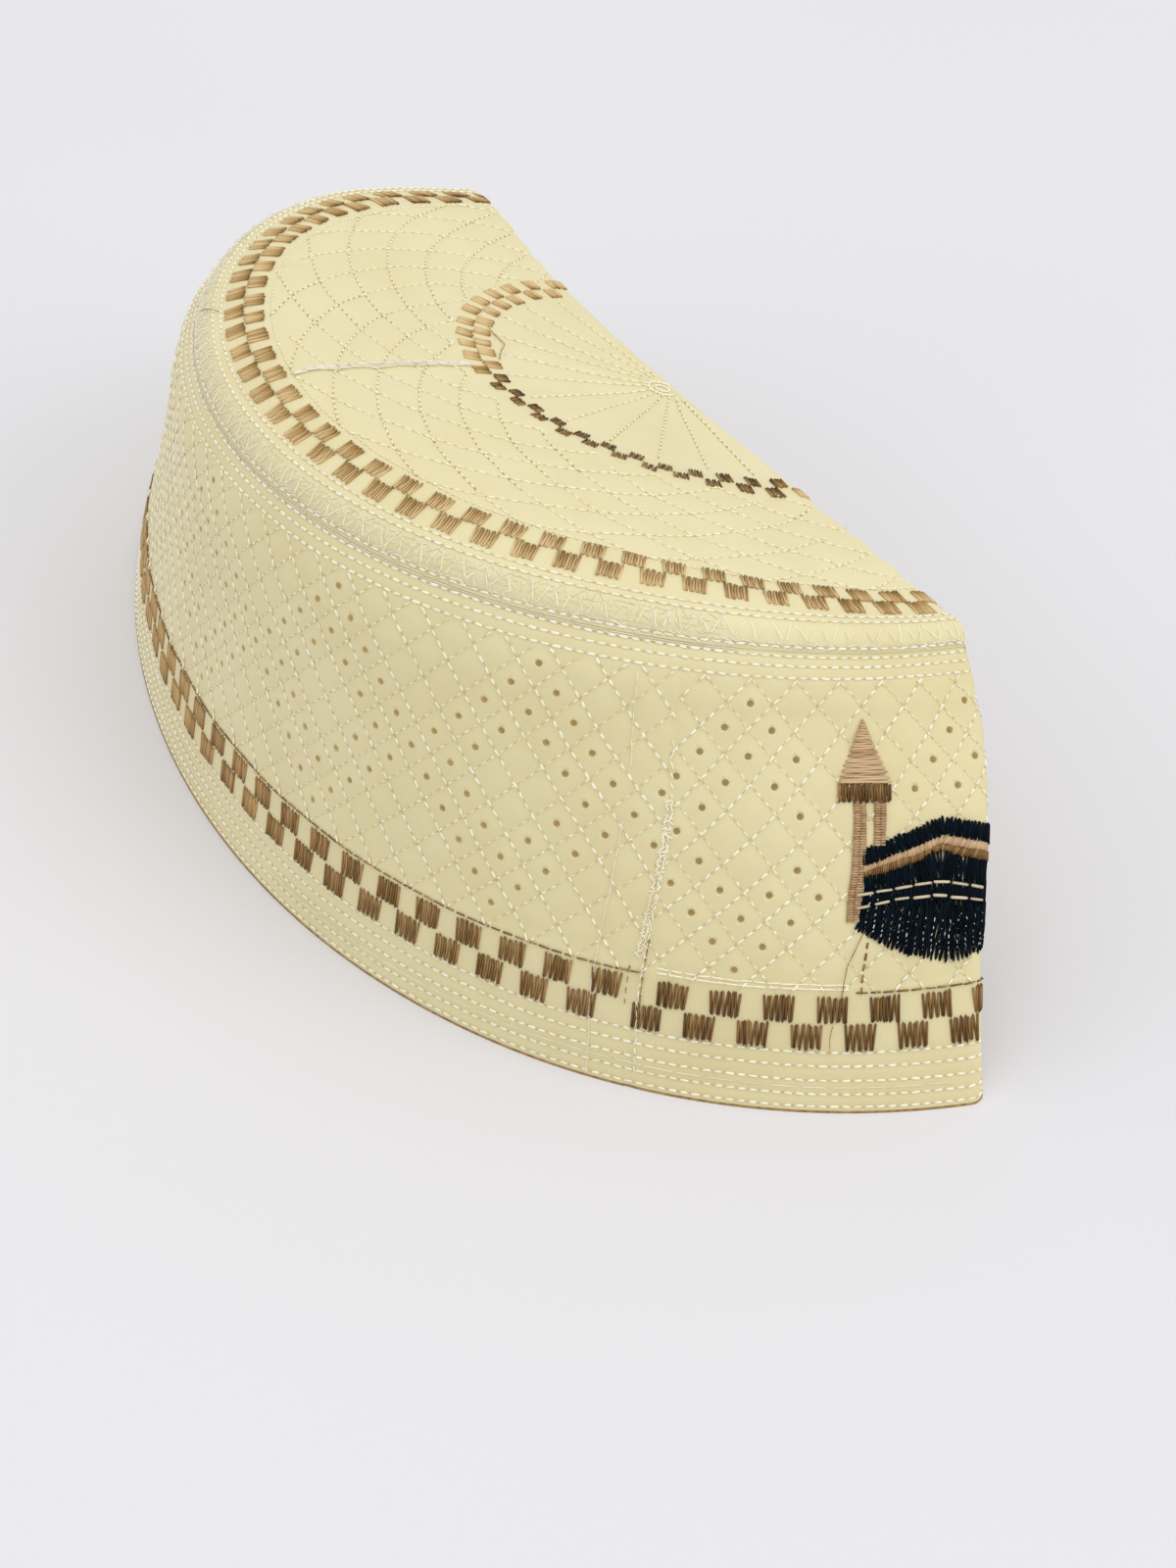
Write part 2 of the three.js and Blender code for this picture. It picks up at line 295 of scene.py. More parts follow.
def folded_point(side, turn, down, lift):
    """Places on the folded cloth, where turn runs from the front layer round the fold to the hidden one."""
    out, fold = front_frame(side, down)
    away = smoothstep(down * np.sin(side), 0, SPRING_REACH)
    half = (FOLD_THICK + (NEST_THICK - FOLD_THICK) * away) / 2
    reach = half + lift
    point = front_point(side, down)[0]
    return point + out * (reach * np.cos(turn) - half)[..., None] + fold * (reach * np.sin(turn))[..., None]


def cloth_place(around, down, lift):
    """Places on the folded cloth; lift is the distance out of the decorated face."""
    around, down, lift = (np.asarray(v, float) for v in np.broadcast_arrays(around, down, lift))
    w = np.mod(around, LOOP)
    side = np.interp(w, [0, FRONT, FRONT + FOLD_ARC, LOOP - FOLD_ARC, LOOP], [0, math.pi, math.pi, 0, 0])
    turn = np.interp(w, [0, FRONT, FRONT + FOLD_ARC, LOOP - FOLD_ARC, LOOP], [0, 0, math.pi, math.pi, 0])
    turn = np.where(w > LOOP - FOLD_ARC, math.pi * (LOOP - w) / FOLD_ARC, turn)
    point = folded_point(side, turn, down, lift)
    share = np.clip((down - CENTRE_TO_RIM + RIM_LEAD) / RIM_LEAD, 0, 1)
    if share.max() > 0:
        above = folded_point(side, turn, np.full_like(down, CENTRE_TO_RIM - RIM_LEAD), lift)
        below = folded_point(side, turn, np.full_like(down, CENTRE_TO_RIM), lift)
        level = above + (below - above) * (above[..., 2] / (above[..., 2] - below[..., 2]))[..., None]
        point = point + (level - below) * share[..., None]
    return settled(point - MIDDLE, down)


def settled(point, down):
    """The fold's right end bellies out below a rounded shoulder, and its left end sinks and leans back."""
    x, y, z = (point[..., k] for k in range(3))
    right = smoothstep(x, *RIGHT_END)
    left = smoothstep(-x, *LEFT_END) * smoothstep(y, *LEFT_BACK)
    sunk = RIGHT_SINK * right * (1 - smoothstep(down, 66, 80))
    sunk = sunk + LEFT_SINK * left * smoothstep(down, 60, 76) * smoothstep(z, 8, 40)
    leant = LEFT_LEAN * left * smoothstep(z, 34, 60)
    out = right * (bump(z, RIGHT_BULGE) - bump(z, RIGHT_TUCK))
    x_shift = RIGHT_WAY[0] * out - right * bump(z, RIGHT_ROUND)
    return point + np.stack([x_shift, RIGHT_WAY[1] * out + leant, -sunk], -1)


def cloth_out(around, down):
    """Directions out of the decorated face."""
    step = 0.5
    near = np.maximum(down, 1.0)
    sideways = cloth_place(around + step, near, 0) - cloth_place(around - step, near, 0)
    lower = cloth_place(around, np.minimum(near + step, CENTRE_TO_RIM), 0)
    return unit(np.cross(sideways, lower - cloth_place(around, near - step, 0)))


# The model stands centred over its origin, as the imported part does
MIDDLE = np.zeros(3)
OUTLINE = cloth_place(*np.meshgrid(np.linspace(0, LOOP, 400), [1.0, 40.0, 75.0, CENTRE_TO_RIM]), BAND_FACE)
MIDDLE = (OUTLINE.min((0, 1)) + OUTLINE.max((0, 1))) / 2 * np.array([1, 1, 0])


# Patterns on the cloth


def crown_around(angle):
    """around for an angle on the open crown, from 0 at the right fold end to two pi."""
    turns = np.floor(angle / math.tau)
    angle = angle - turns * math.tau
    return np.interp(angle, [0, math.pi, math.tau], [0, FRONT, LOOP]) + turns * LOOP


def band_shift(around):
    """0 on the visible half of the band and 1 once past the hidden half."""
    return smoothstep(around, *HIDDEN_STRETCH)


def pattern_along(around):
    """Distance along the sewn pattern, which starts and ends at the seam."""
    w = np.where(around < SEAM, around + LOOP, around)
    return w - HIDDEN_EASE * band_shift(w)


PATTERN_AROUND = np.linspace(SEAM - 60, SEAM + LOOP + 60, 3000)
PATTERN_TABLE = PATTERN_AROUND - HIDDEN_EASE * band_shift(PATTERN_AROUND)
PATTERN_LENGTH = LOOP - HIDDEN_EASE


def pattern_around(along):
    return np.interp(along, PATTERN_TABLE, PATTERN_AROUND)


def lean_and_middle(around):
    """How much the motifs lean, and how far down their middles are."""
    share = band_shift(around)
    lean = LEAN_LEFT + (LEAN_RIGHT - LEAN_LEFT) * share
    middle = MOTIF_MIDDLE[1] + (MOTIF_MIDDLE_RIGHT - MOTIF_MIDDLE[1]) * share
    lower = between(around, (FRONT, FRONT + 40), (LOOP - 36, LOOP))
    return lean, middle + HIDDEN_LOWER * lower


def lattice_phases(around, down):
    """Whole numbers on the stitched lines of the diamonds, one number for each direction of the lines."""
    w = np.where(around < SEAM, around + LOOP, around)
    lean, middle = lean_and_middle(w)
    drop = down - middle
    along = (pattern_along(w) - MOTIF_MIDDLE[0] - lean * drop) / CELL[0]
    return along - drop / CELL[1], along + drop / CELL[1]


def groove(distance, width, depth):
    return -depth * np.exp(-((distance / width) ** 2))


def waves(around, down):
    """The cloth's own unevenness."""
    u, v = around / 10, down / 10
    broad = 0.12 * np.sin(1.3 * u + 0.9 * np.sin(0.7 * v)) * np.sin(0.9 * v + 1.1)
    return broad + 0.08 * np.sin(2.9 * u - 1.7 * v)


def pillows(first, second):
    """The cloth puffs up between its stitched lines."""
    puff = np.abs(np.sin(math.pi * first) * np.sin(math.pi * second)) ** 0.7
    return QUILT_DEPTH * (puff - 1)


def band_relief(around, down):
    first, second = lattice_phases(around, down)
    quilted = between(down, (LATTICE[0] - 0.6, LATTICE[0] + 0.4), (LATTICE[1] - 0.6, LATTICE[1]))
    relief = quilted * pillows(first, second)
    for row in SHOULDER_ROWS + HEM_ROWS:
        relief = relief + groove(down - row, 0.55, 0.2)
    relief = relief + groove(np.mod(around - SEAM + LOOP / 2, LOOP) - LOOP / 2, 0.5, 0.14)
    uneven = between(down, (CROWN_EDGE, CROWN_EDGE + 6), (140, CENTRE_TO_RIM))
    return relief + uneven * (waves(around, down) - 0.1)


def open_angle(around):
    """The angle on the open crown for a place around."""
    w = np.mod(around, LOOP)
    return np.interp(w, [0, FRONT, LOOP], [0, math.pi, math.tau])


def curve_phases(around, down):
    """Whole numbers on the crown's stitched curves, one number for each way that they turn."""
    angle = open_angle(around) - CURVE_PHASE
    turned = CURVE_TURN * (CURVES[1] + 0.8 - down)
    return (angle - turned) / CURVE_PITCH, (angle + turned) / CURVE_PITCH


def crown_relief(around, down):
    first, second = curve_phases(around, down)
    quilted = between(down, (CURVES[0] - 0.5, CURVES[0] + 1.5), (CURVES[1] - 0.5, CURVES[1] + 0.2))
    relief = quilted * pillows(first, second) * 0.8
    spokes = np.abs(np.sin(0.5 * math.tau * (open_angle(around) - CURVE_PHASE) / CURVE_PITCH)) ** 0.5
    relief = relief + between(down, (4, 9), (28, 31)) * 0.1 * (spokes - 1)
    for row in (RING_LINE_GROOVE,) + BORDER_ROWS:
        relief = relief + groove(down - row, 0.5, 0.16)
    return relief + between(down, (3, 10), (68, 73)) * (waves(around, down) - 0.1)


def edge_ramp(down):
    """0 on the crown, and 1 from where its cloth is thinned to the pressed edge."""
    return np.clip((down - EDGE_RAMP[0]) / (EDGE_RAMP[1] - EDGE_RAMP[0]), 0, 1)


def crown_lift(around, down):
    pressed = -EDGE_PRESS_FACE * smoothstep(down, *EDGE_PRESSED)
    return EDGE_RISE * edge_ramp(down) + pressed + crown_relief(around, down)


def crown_lining(around, down):
    thinned = edge_ramp(down) * (EDGE_RISE - PRESSED_EDGE + CLOTH)
    return -CLOTH + thinned - EDGE_PRESS_LINING * smoothstep(down, *EDGE_PRESSED)


def band_lift(around, down):
    return BAND_FACE + band_relief(around, down)


def band_lining(around, down):
    return BAND_FACE - CLOTH + 0 * down


def face_lift(around, down):
    return np.where(down < CROWN_EDGE, crown_lift(around, down), band_lift(around, down))


# Materials


def linear(hex_colour):
    parts = [int(hex_colour[i : i + 2], 16) / 255 for i in (1, 3, 5)]
    return [p / 12.92 if p <= 0.04045 else ((p + 0.055) / 1.055) ** 2.4 for p in parts] + [1.0]


def set_stops(ramp, stops):
    while len(ramp.elements) < len(stops):
        ramp.elements.new(0.5)
    for element, (place, colour) in zip(ramp.elements, stops):
        element.position = place
        element.color = linear(colour)


def add(tree, kind, inputs=(), output=0, **settings):
    """Adds a node and returns one of its outputs. inputs holds values, and outputs of other nodes to link
    from, by name or in order. stops are a colour ramp's places and colours."""
    node = tree.nodes.new(kind)
    for name, value in settings.items():
        if name == "stops":
            set_stops(node.color_ramp, value)
        else:
            setattr(node, name, value)
    for name, value in inputs.items() if isinstance(inputs, dict) else enumerate(inputs):
        if isinstance(value, bpy.types.NodeSocket):
            tree.links.new(value, node.inputs[name])
        else:
            node.inputs[name].default_value = value
    return node.outputs[output] if len(node.outputs) else None


BUMP = "ShaderNodeBump"
MATHS = "ShaderNodeMath"
NOISE = "ShaderNodeTexNoise"
RAMP = "ShaderNodeValToRGB"
SHADER = "ShaderNodeBsdfPrincipled"
STORE = "GeometryNodeStoreNamedAttribute"
SURFACE = "ShaderNodeOutputMaterial"


def material(name):
    made = bpy.data.materials.new(name)
    made.use_nodes = True
    made.node_tree.nodes.clear()
    return made, made.node_tree


# Cotton cloth laminated with a thin film: smooth, ivory, a soft sheen, and faint mottling where
# the glue under the film lies thicker. The pucker of the quilting shows as fine creases.
def laminated_cotton(name, light, dark):
    made, tree = material(name)
    place = add(tree, "ShaderNodeTexCoord", output="Object")
    patches = {"Vector": place, "Scale": 55.0, "Detail": 3.0, "Roughness": 0.55}
    patches = add(tree, NOISE, patches, output="Fac")
    colour = add(tree, RAMP, {"Fac": patches}, stops=[(0.3, dark), (0.62, light)])
    creases = {"Vector": place, "Scale": 420.0, "Detail": 4.0, "Distortion": 0.6}
    creases = add(tree, NOISE, creases, output="Fac")
    flat = add(tree, "ShaderNodeUVMap", uv_map="cloth")
    threads = add(tree, "ShaderNodeMapping", {"Vector": flat, "Scale": (1900.0, 1900.0, 1.0)})
    weave = add(tree, "ShaderNodeTexChecker", {"Vector": threads, "Scale": 1.0}, output="Fac")
    soft = add(tree, BUMP, {"Height": creases, "Strength": 0.22, "Distance": 0.0005})
    fine = add(tree, BUMP, {"Height": weave, "Strength": 0.04, "Distance": 0.0001, "Normal": soft})
    look = {
        "Base Color": colour,
        "Roughness": 0.5,
        "IOR": 1.45,
        "Sheen Weight": 0.15,
        "Sheen Roughness": 0.4,
        "Subsurface Weight": 0.08,
        "Subsurface Radius": (0.002, 0.0015, 0.0008),
        "Subsurface Scale": 1.0,
        "Normal": fine,
    }
    add(tree, SURFACE, {"Surface": add(tree, SHADER, look)})
    return made


# Embroidery thread: twisted and glossy along its length. It is darker at its ends, painted shade where it
# dives into the cloth; no two threads take the same light, and its tilt lightens one end of each thread,
# painted shading across each block.
# White thread glows faintly, painted light that makes it a touch lighter than its surroundings.
def embroidery_thread(name, colours, roughness=0.42, painted_end_shade=0.0, painted_glow_strength=0.0, lustre=1.5):
    made, tree = material(name)
    names = ("along", "shade", "tone")
    along, shade, tone = (add(tree, "ShaderNodeAttribute", output="Fac", attribute_name=n) for n in names)
    # the ends' darkening below is painted shade
    squared = add(tree, MATHS, (along, along), operation="MULTIPLY")
    ends = add(tree, MATHS, (squared, squared), operation="MULTIPLY")
    level = add(tree, MATHS, (shade, 0.4, -0.2), operation="MULTIPLY_ADD")
    level = add(tree, MATHS, (ends, -0.3, level), operation="MULTIPLY_ADD")
    level = add(tree, MATHS, (level, tone), operation="ADD")
    level = add(tree, MATHS, (along, painted_end_shade, level), operation="MULTIPLY_ADD")
    stops = [(k / (len(colours) - 1), colour) for k, colour in enumerate(colours)]
    look = {
        "Base Color": add(tree, RAMP, {"Fac": level}, stops=stops),
        "Roughness": roughness,
        "IOR": lustre,
        "Emission Color": linear(colours[-1]),
        "Emission Strength": painted_glow_strength,
    }
    add(tree, SURFACE, {"Surface": add(tree, SHADER, look)})
    return made


# Cut and pressed edges, where the core under the film shows: duller and browner. Their glow is painted
# light, standing in for light let through the cloth, so a cut edge that stands in shade still glows a
# little.
def cut_core(name, dark, light, glow=0.0):
    made, tree = material(name)
    place = add(tree, "ShaderNodeTexCoord", output="Object")
    grain = add(tree, NOISE, {"Vector": place, "Scale": 900.0, "Detail": 2.0}, output="Fac")
    look = {
        "Base Color": add(tree, RAMP, {"Fac": grain}, stops=[(0.35, dark), (0.65, light)]),
        "Roughness": 0.85,
        "Emission Color": linear(light),
        "Emission Strength": glow,
        "Normal": add(tree, BUMP, {"Height": grain, "Strength": 0.4, "Distance": 0.0003}),
    }
    add(tree, SURFACE, {"Surface": add(tree, SHADER, look)})
    return made


# Matte studio table, pale grey with the faintest grain.
def table_laminate():
    made, tree = material("table_laminate")
    place = add(tree, "ShaderNodeTexCoord", output="Object")
    grain = add(tree, NOISE, {"Vector": place, "Scale": 3.0, "Detail": 2.0}, output="Fac")
    colour = add(tree, RAMP, {"Fac": grain}, stops=[(0.3, "#E6E4E5"), (0.7, "#EAE8E9")])
    look = {"Base Color": colour, "Roughness": 0.9, "IOR": 1.3}
    add(tree, SURFACE, {"Surface": add(tree, SHADER, look)})
    return made


def cotton_thread(name, colours, roughness, painted_glow_strength):
    return embroidery_thread(name, colours, roughness, painted_glow_strength=painted_glow_strength)


def rayon_thread(name, colours, roughness=0.42, painted_end_shade=0.0, lustre=1.36):
    return embroidery_thread(name, colours, roughness, painted_end_shade, lustre=lustre)


CROWN_CLOTH = laminated_cotton("laminated_cotton_crown", "#EBDFB0", "#E6D9A6")
BAND_CLOTH = laminated_cotton("laminated_cotton_band", "#E6DAAA", "#E1D3A0")
# The hole walls and the band's lining glow: painted light in place of light let through the cloth.
CORE = cut_core("cut_cloth_core_painted_glow", "#9C8652", "#C0AC78", 0.36)
INSIDE = cut_core("cotton_backing_painted_glow", "#928054", "#AC9C70", 0.5)
# The rim's cut edge; its brown also paints the contact shadow under the rim.
RIM_EDGE_AND_SHADOW = cut_core("cut_rim_edge_and_painted_shadow", "#9C7A48", "#BE9C66")
# The cotton threads' faint glow is painted light.
WHITE_THREAD = cotton_thread("cotton_white_thread", ["#E2D9B8", "#F8F2DA", "#FFFDF0"], 0.45, 0.08)
CREAM_STITCH = cotton_thread("cotton_cream_thread", ["#E8DDB0", "#F7EFCC", "#FDF8E2"], 0.5, 0.08)
FADED_THREAD = cotton_thread("cotton_faded_thread", ["#DAD1B4", "#F0E9D2", "#FBF7EA"], 0.55, 0.04)
BROWN_THREAD = rayon_thread("rayon_brown_thread", ["#3E260E", "#8A6434", "#D2AE74"], 0.4, -0.12)
TAN_THREAD = rayon_thread("rayon_tan_thread", ["#4C3110", "#B18C50", "#EACD98"], painted_end_shade=0.26)
PICTURE_TAN = rayon_thread("rayon_picture_tan_thread", ["#785632", "#B8936A", "#DFC198"])
CREAM_THREAD = rayon_thread("rayon_cream_thread", ["#B09C7C", "#DCCCAA", "#F0E4C6"], lustre=1.5)
NAVY_THREAD = rayon_thread("rayon_navy_thread", ["#010509", "#06121B", "#142634"], 0.5, lustre=1.16)
# Needle holes and dips are darker beads between the stitches: painted shade where the thread dives into the
# cloth.
NEEDLE_HOLE_PAINTED_SHADE = cut_core("needle_hole_painted_shade", "#D4C690", "#DED1A0")
NEEDLE_SHADE = cut_core("needle_hole_shade", "#BCA868", "#C9B678")


# Meshes


def set_point_attribute(mesh, name, kind, values):
    data = mesh.attributes.new(name, kind, "POINT").data
    data.foreach_set("vector" if kind == "FLOAT_VECTOR" else "value", np.asarray(values, np.float32).ravel())


def new_piece(name, mesh):
    piece = bpy.data.objects.new(name, mesh)
    bpy.context.scene.collection.objects.link(piece)
    return piece


def cloth_piece(name, columns, face_rows, lining_rows, lift, lining, materials):
    """One closed wall of cloth round the fold. materials are for the face, the lining and the edges; the
    edges' material also paints a contact shadow on the face's last row at the rim.
    """
    count = len(columns)
    grids = []
    for rows, lift_at in ((face_rows, lift), (lining_rows, lining)):
        down, around = np.meshgrid(rows, columns, indexing="ij")
        grids.append((cloth_place(around, down, lift_at(around, down)), around, down))
    points = np.concatenate([g[0].reshape(-1, 3) for g in grids]) * MM
    flat = np.concatenate([np.stack([g[1].ravel(), g[2].ravel()], -1) for g in grids]) * MM
    first = np.arange(count)
    after = (first + 1) % count
    faces, slots = [], []

    def strip(upper, lower, slot):
        faces.append(np.stack([upper + first, upper + after, lower + after, lower + first], -1))
        slots.extend([slot] * count)

    for j in range(len(face_rows) - 1):
        # The face's last row at the rim takes the edge material: the cut edge's brown and a painted contact
        # shadow.
        strip(j * count, (j + 1) * count, 2 if face_rows[j] > CENTRE_TO_RIM - 0.5 else 0)
    base = len(face_rows) * count
    for j in range(len(lining_rows) - 1):
        strip(base + (j + 1) * count, base + j * count, 1)
    strip(base - count, base + (len(lining_rows) - 1) * count, 2)
    if face_rows[0] > 0:
        strip(base, 0, 2)
    mesh = bpy.data.meshes.new(name)
    mesh.from_pydata(points.tolist(), [], np.concatenate(faces).tolist())
    for made in materials:
        mesh.materials.append(made)
    mesh.polygons.foreach_set("material_index", slots)
    mesh.polygons.foreach_set("use_smooth", [True] * len(slots))
    layer = mesh.uv_layers.new(name="cloth")
    corners = np.zeros(len(mesh.loops), np.int32)
    mesh.loops.foreach_get("vertex_index", corners)
    layer.data.foreach_set("uv", flat[corners].astype(np.float32).ravel())
    piece = new_piece(name, mesh)
    merge_doubles(piece)
    return piece


def merge_doubles(piece):
    work = bmesh.new()
    work.from_mesh(piece.data)
    bmesh.ops.remove_doubles(work, verts=work.verts, dist=2e-6)
    bmesh.ops.dissolve_degenerate(work, edges=work.edges, dist=1e-7)
    work.to_mesh(piece.data)
    work.free()


def apply_modifiers(piece):
    """Turns the piece's modifiers into its mesh."""
    evaluated = piece.evaluated_get(bpy.context.evaluated_depsgraph_get())
    mesh = bpy.data.meshes.new_from_object(evaluated)
    piece.modifiers.clear()
    old = piece.data
    piece.data = mesh
    bpy.data.meshes.remove(old)
    mesh.name = piece.name


def columns_with(front_step, hidden_step, fold_steps):
    front = np.linspace(0, FRONT, round(FRONT / front_step), endpoint=False)
    fold = np.linspace(0, FOLD_ARC, fold_steps, endpoint=False)
    hidden = np.linspace(0, FRONT, round(FRONT / hidden_step), endpoint=False)
    return np.concatenate([front, FRONT + fold, FRONT + FOLD_ARC + hidden, LOOP - FOLD_ARC + fold])


def make_crown():
    rows = np.concatenate([
        np.linspace(0, 30, 24, endpoint=False),
        np.linspace(30, 78.4, 72, endpoint=False),
        [78.4, 78.8, 79.1, 79.4, 79.65, CROWN_EDGE],
    ])
    lining = np.array([0, 12, 26, 40, 55, 66, 72.3, 73.5, 74.7, 76, 77.2, 78.5, CROWN_EDGE])
    columns = columns_with(0.84, 1.9, 10)
    return cloth_piece("crown_cloth", columns, rows, lining, crown_lift, crown_lining, (CROWN_CLOTH,) * 3)


def under_picture(around, down):
    """Whether a place is near the embroidered picture, where no hole is punched."""
    near_right = around - LOOP if around > LOOP - 60 else around
    on_building = -17 < near_right < 28 and down > 101
    on_minaret = 12 < near_right < 28 and down < 113
    past_foot = near_right > 24 and down > 113
    return (on_building or on_minaret) and not past_foot


def hole_places():
    """(around, down) of the punched holes: each motif is a diamond of holes inside another."""
    places = set()
    for motif in range(-1, 15):
        for ring in HOLE_RINGS:
            for step in range(-ring, ring + 1):
                along = MOTIF_MIDDLE[0] + motif * MOTIF_CELLS * CELL[0] + step * CELL[0] / 2
                on_row = float(pattern_around(along))
                lean, middle = lean_and_middle(on_row)
                for row in {abs(step) - ring, ring - abs(step)}:
                    drop = row * CELL[1] / 2
                    around = on_row + lean * drop
                    if SEAM + 0.8 < around < SEAM + LOOP - 0.8:
                        places.add((round(around, 3), round(float(middle + drop), 3)))
    return np.array([place for place in sorted(places) if not under_picture(*place)])


def punches(places):
    """Prisms that cut the punched holes, square to the cloth and clear of the other layer."""
    sides = PUNCH_SIDES
    around, down = places[:, 0], places[:, 1]
    out = cloth_out(around, down)
    side = unit(np.cross(out, [0.0, 0.0, 1.0]))
    up = np.cross(out, side)
    middle = cloth_place(around, down, BAND_FACE)
    points, faces = [], []
    for k in range(len(places)):
        base = len(points)
        for height in PUNCH_REACH:
            for i in range(sides):
                spin = math.tau * i / sides
                offset = side[k] * math.cos(spin) + up[k] * math.sin(spin)
                points.append((middle[k] + out[k] * height + offset * HOLE_WIDTH / 2) * MM)
        for i in range(sides):
            j = (i + 1) % sides
            faces.append((base + j, base + i, base + sides + i, base + sides + j))
        faces.append(tuple(base + i for i in range(sides)))
        faces.append(tuple(base + 2 * sides - 1 - i for i in range(sides)))
    mesh = bpy.data.meshes.new("punches")
    mesh.from_pydata([tuple(p) for p in points], [], faces)
    mesh.materials.append(CORE)
    return new_piece("punches", mesh)


def make_band():
    rows = np.concatenate([
        [BAND_TOP, 77.5],
        np.linspace(79.2, 145.6, 104, endpoint=False),
        [145.6, 146.1, 146.5, 146.8, CENTRE_TO_RIM],
    ])
    lining = np.array([BAND_TOP, 82, 90, 100, 112, 124, 136, 142.2, CENTRE_TO_RIM])
    columns = columns_with(0.66, 1.6, 10)
    materials = (BAND_CLOTH, INSIDE, RIM_EDGE_AND_SHADOW)
    band = cloth_piece("band_cloth", columns, rows, lining, band_lift, band_lining, materials)
    cutter = punches(hole_places())
    cut = band.modifiers.new("holes", "BOOLEAN")
    cut.operation = "DIFFERENCE"
    cut.solver = "MANIFOLD"
    cut.material_mode = "TRANSFER"
    cut.object = cutter
    apply_modifiers(band)
    bpy.data.objects.remove(cutter)
    return band


# Threads, laid along paths on the cloth
ROW_STEP = 1.5
PATH_STEP = 0.8


def path_on_cloth(around, down, rise=0.0, reach=1.0, tone=0.5, closed=False):
    """A path that threads are laid along; reach stretches them and tone lightens them."""
    around, down = np.broadcast_arrays(np.asarray(around, float), np.asarray(down, float))
    lift = face_lift(np.mod(around, LOOP), down) + rise
    return dict(
        points=cloth_place(around, down, lift),
        out=cloth_out(around, down),
        reach=np.broadcast_to(reach, around.shape),
        tone=np.broadcast_to(tone, around.shape),
        closed=closed,
    )


def row_round(down, start=0.0, stop=LOOP, rise=0.0):
    """A path at one depth, all the way round or part of it."""
    closed = stop - start >= LOOP
    count = max(2, round((stop - start) / ROW_STEP))
    around = np.linspace(start, stop, count, endpoint=not closed)
    return path_on_cloth(around, np.full(count, float(down)), rise, closed=closed)


def paths_mesh(name, paths):
    points = np.concatenate([p["points"] for p in paths]) * MM
    edges = []
    base = 0
    for p in paths:
        n = len(p["points"])
        edges += [(base + i, base + i + 1) for i in range(n - 1)]
        if p["closed"]:
            edges.append((base + n - 1, base))
        base += n
    mesh = bpy.data.meshes.new(name)
    mesh.from_pydata(points.tolist(), edges, [])
    for key, kind in (("out", "FLOAT_VECTOR"), ("reach", "FLOAT"), ("tone", "FLOAT")):
        set_point_attribute(mesh, key, kind, np.concatenate([p[key] for p in paths]))
    return mesh


# A thread's inputs in the tree, each with its unit and the value that it has where none is given
DEGREE = math.radians(1)
THREAD_INPUTS = {
    "Pitch": (MM, 2.5),
    "Length": (MM, 2.0),
    "Width": (MM, 0.5),
    "Height": (MM, 0.4),
    "Shift": (MM, 0.0),
    "Turn": (DEGREE, 0.0),
    "Zigzag": (DEGREE, 0.0),
    "Shake": (DEGREE, 4.5837),
    "Uneven": (1.0, 0.15),
}


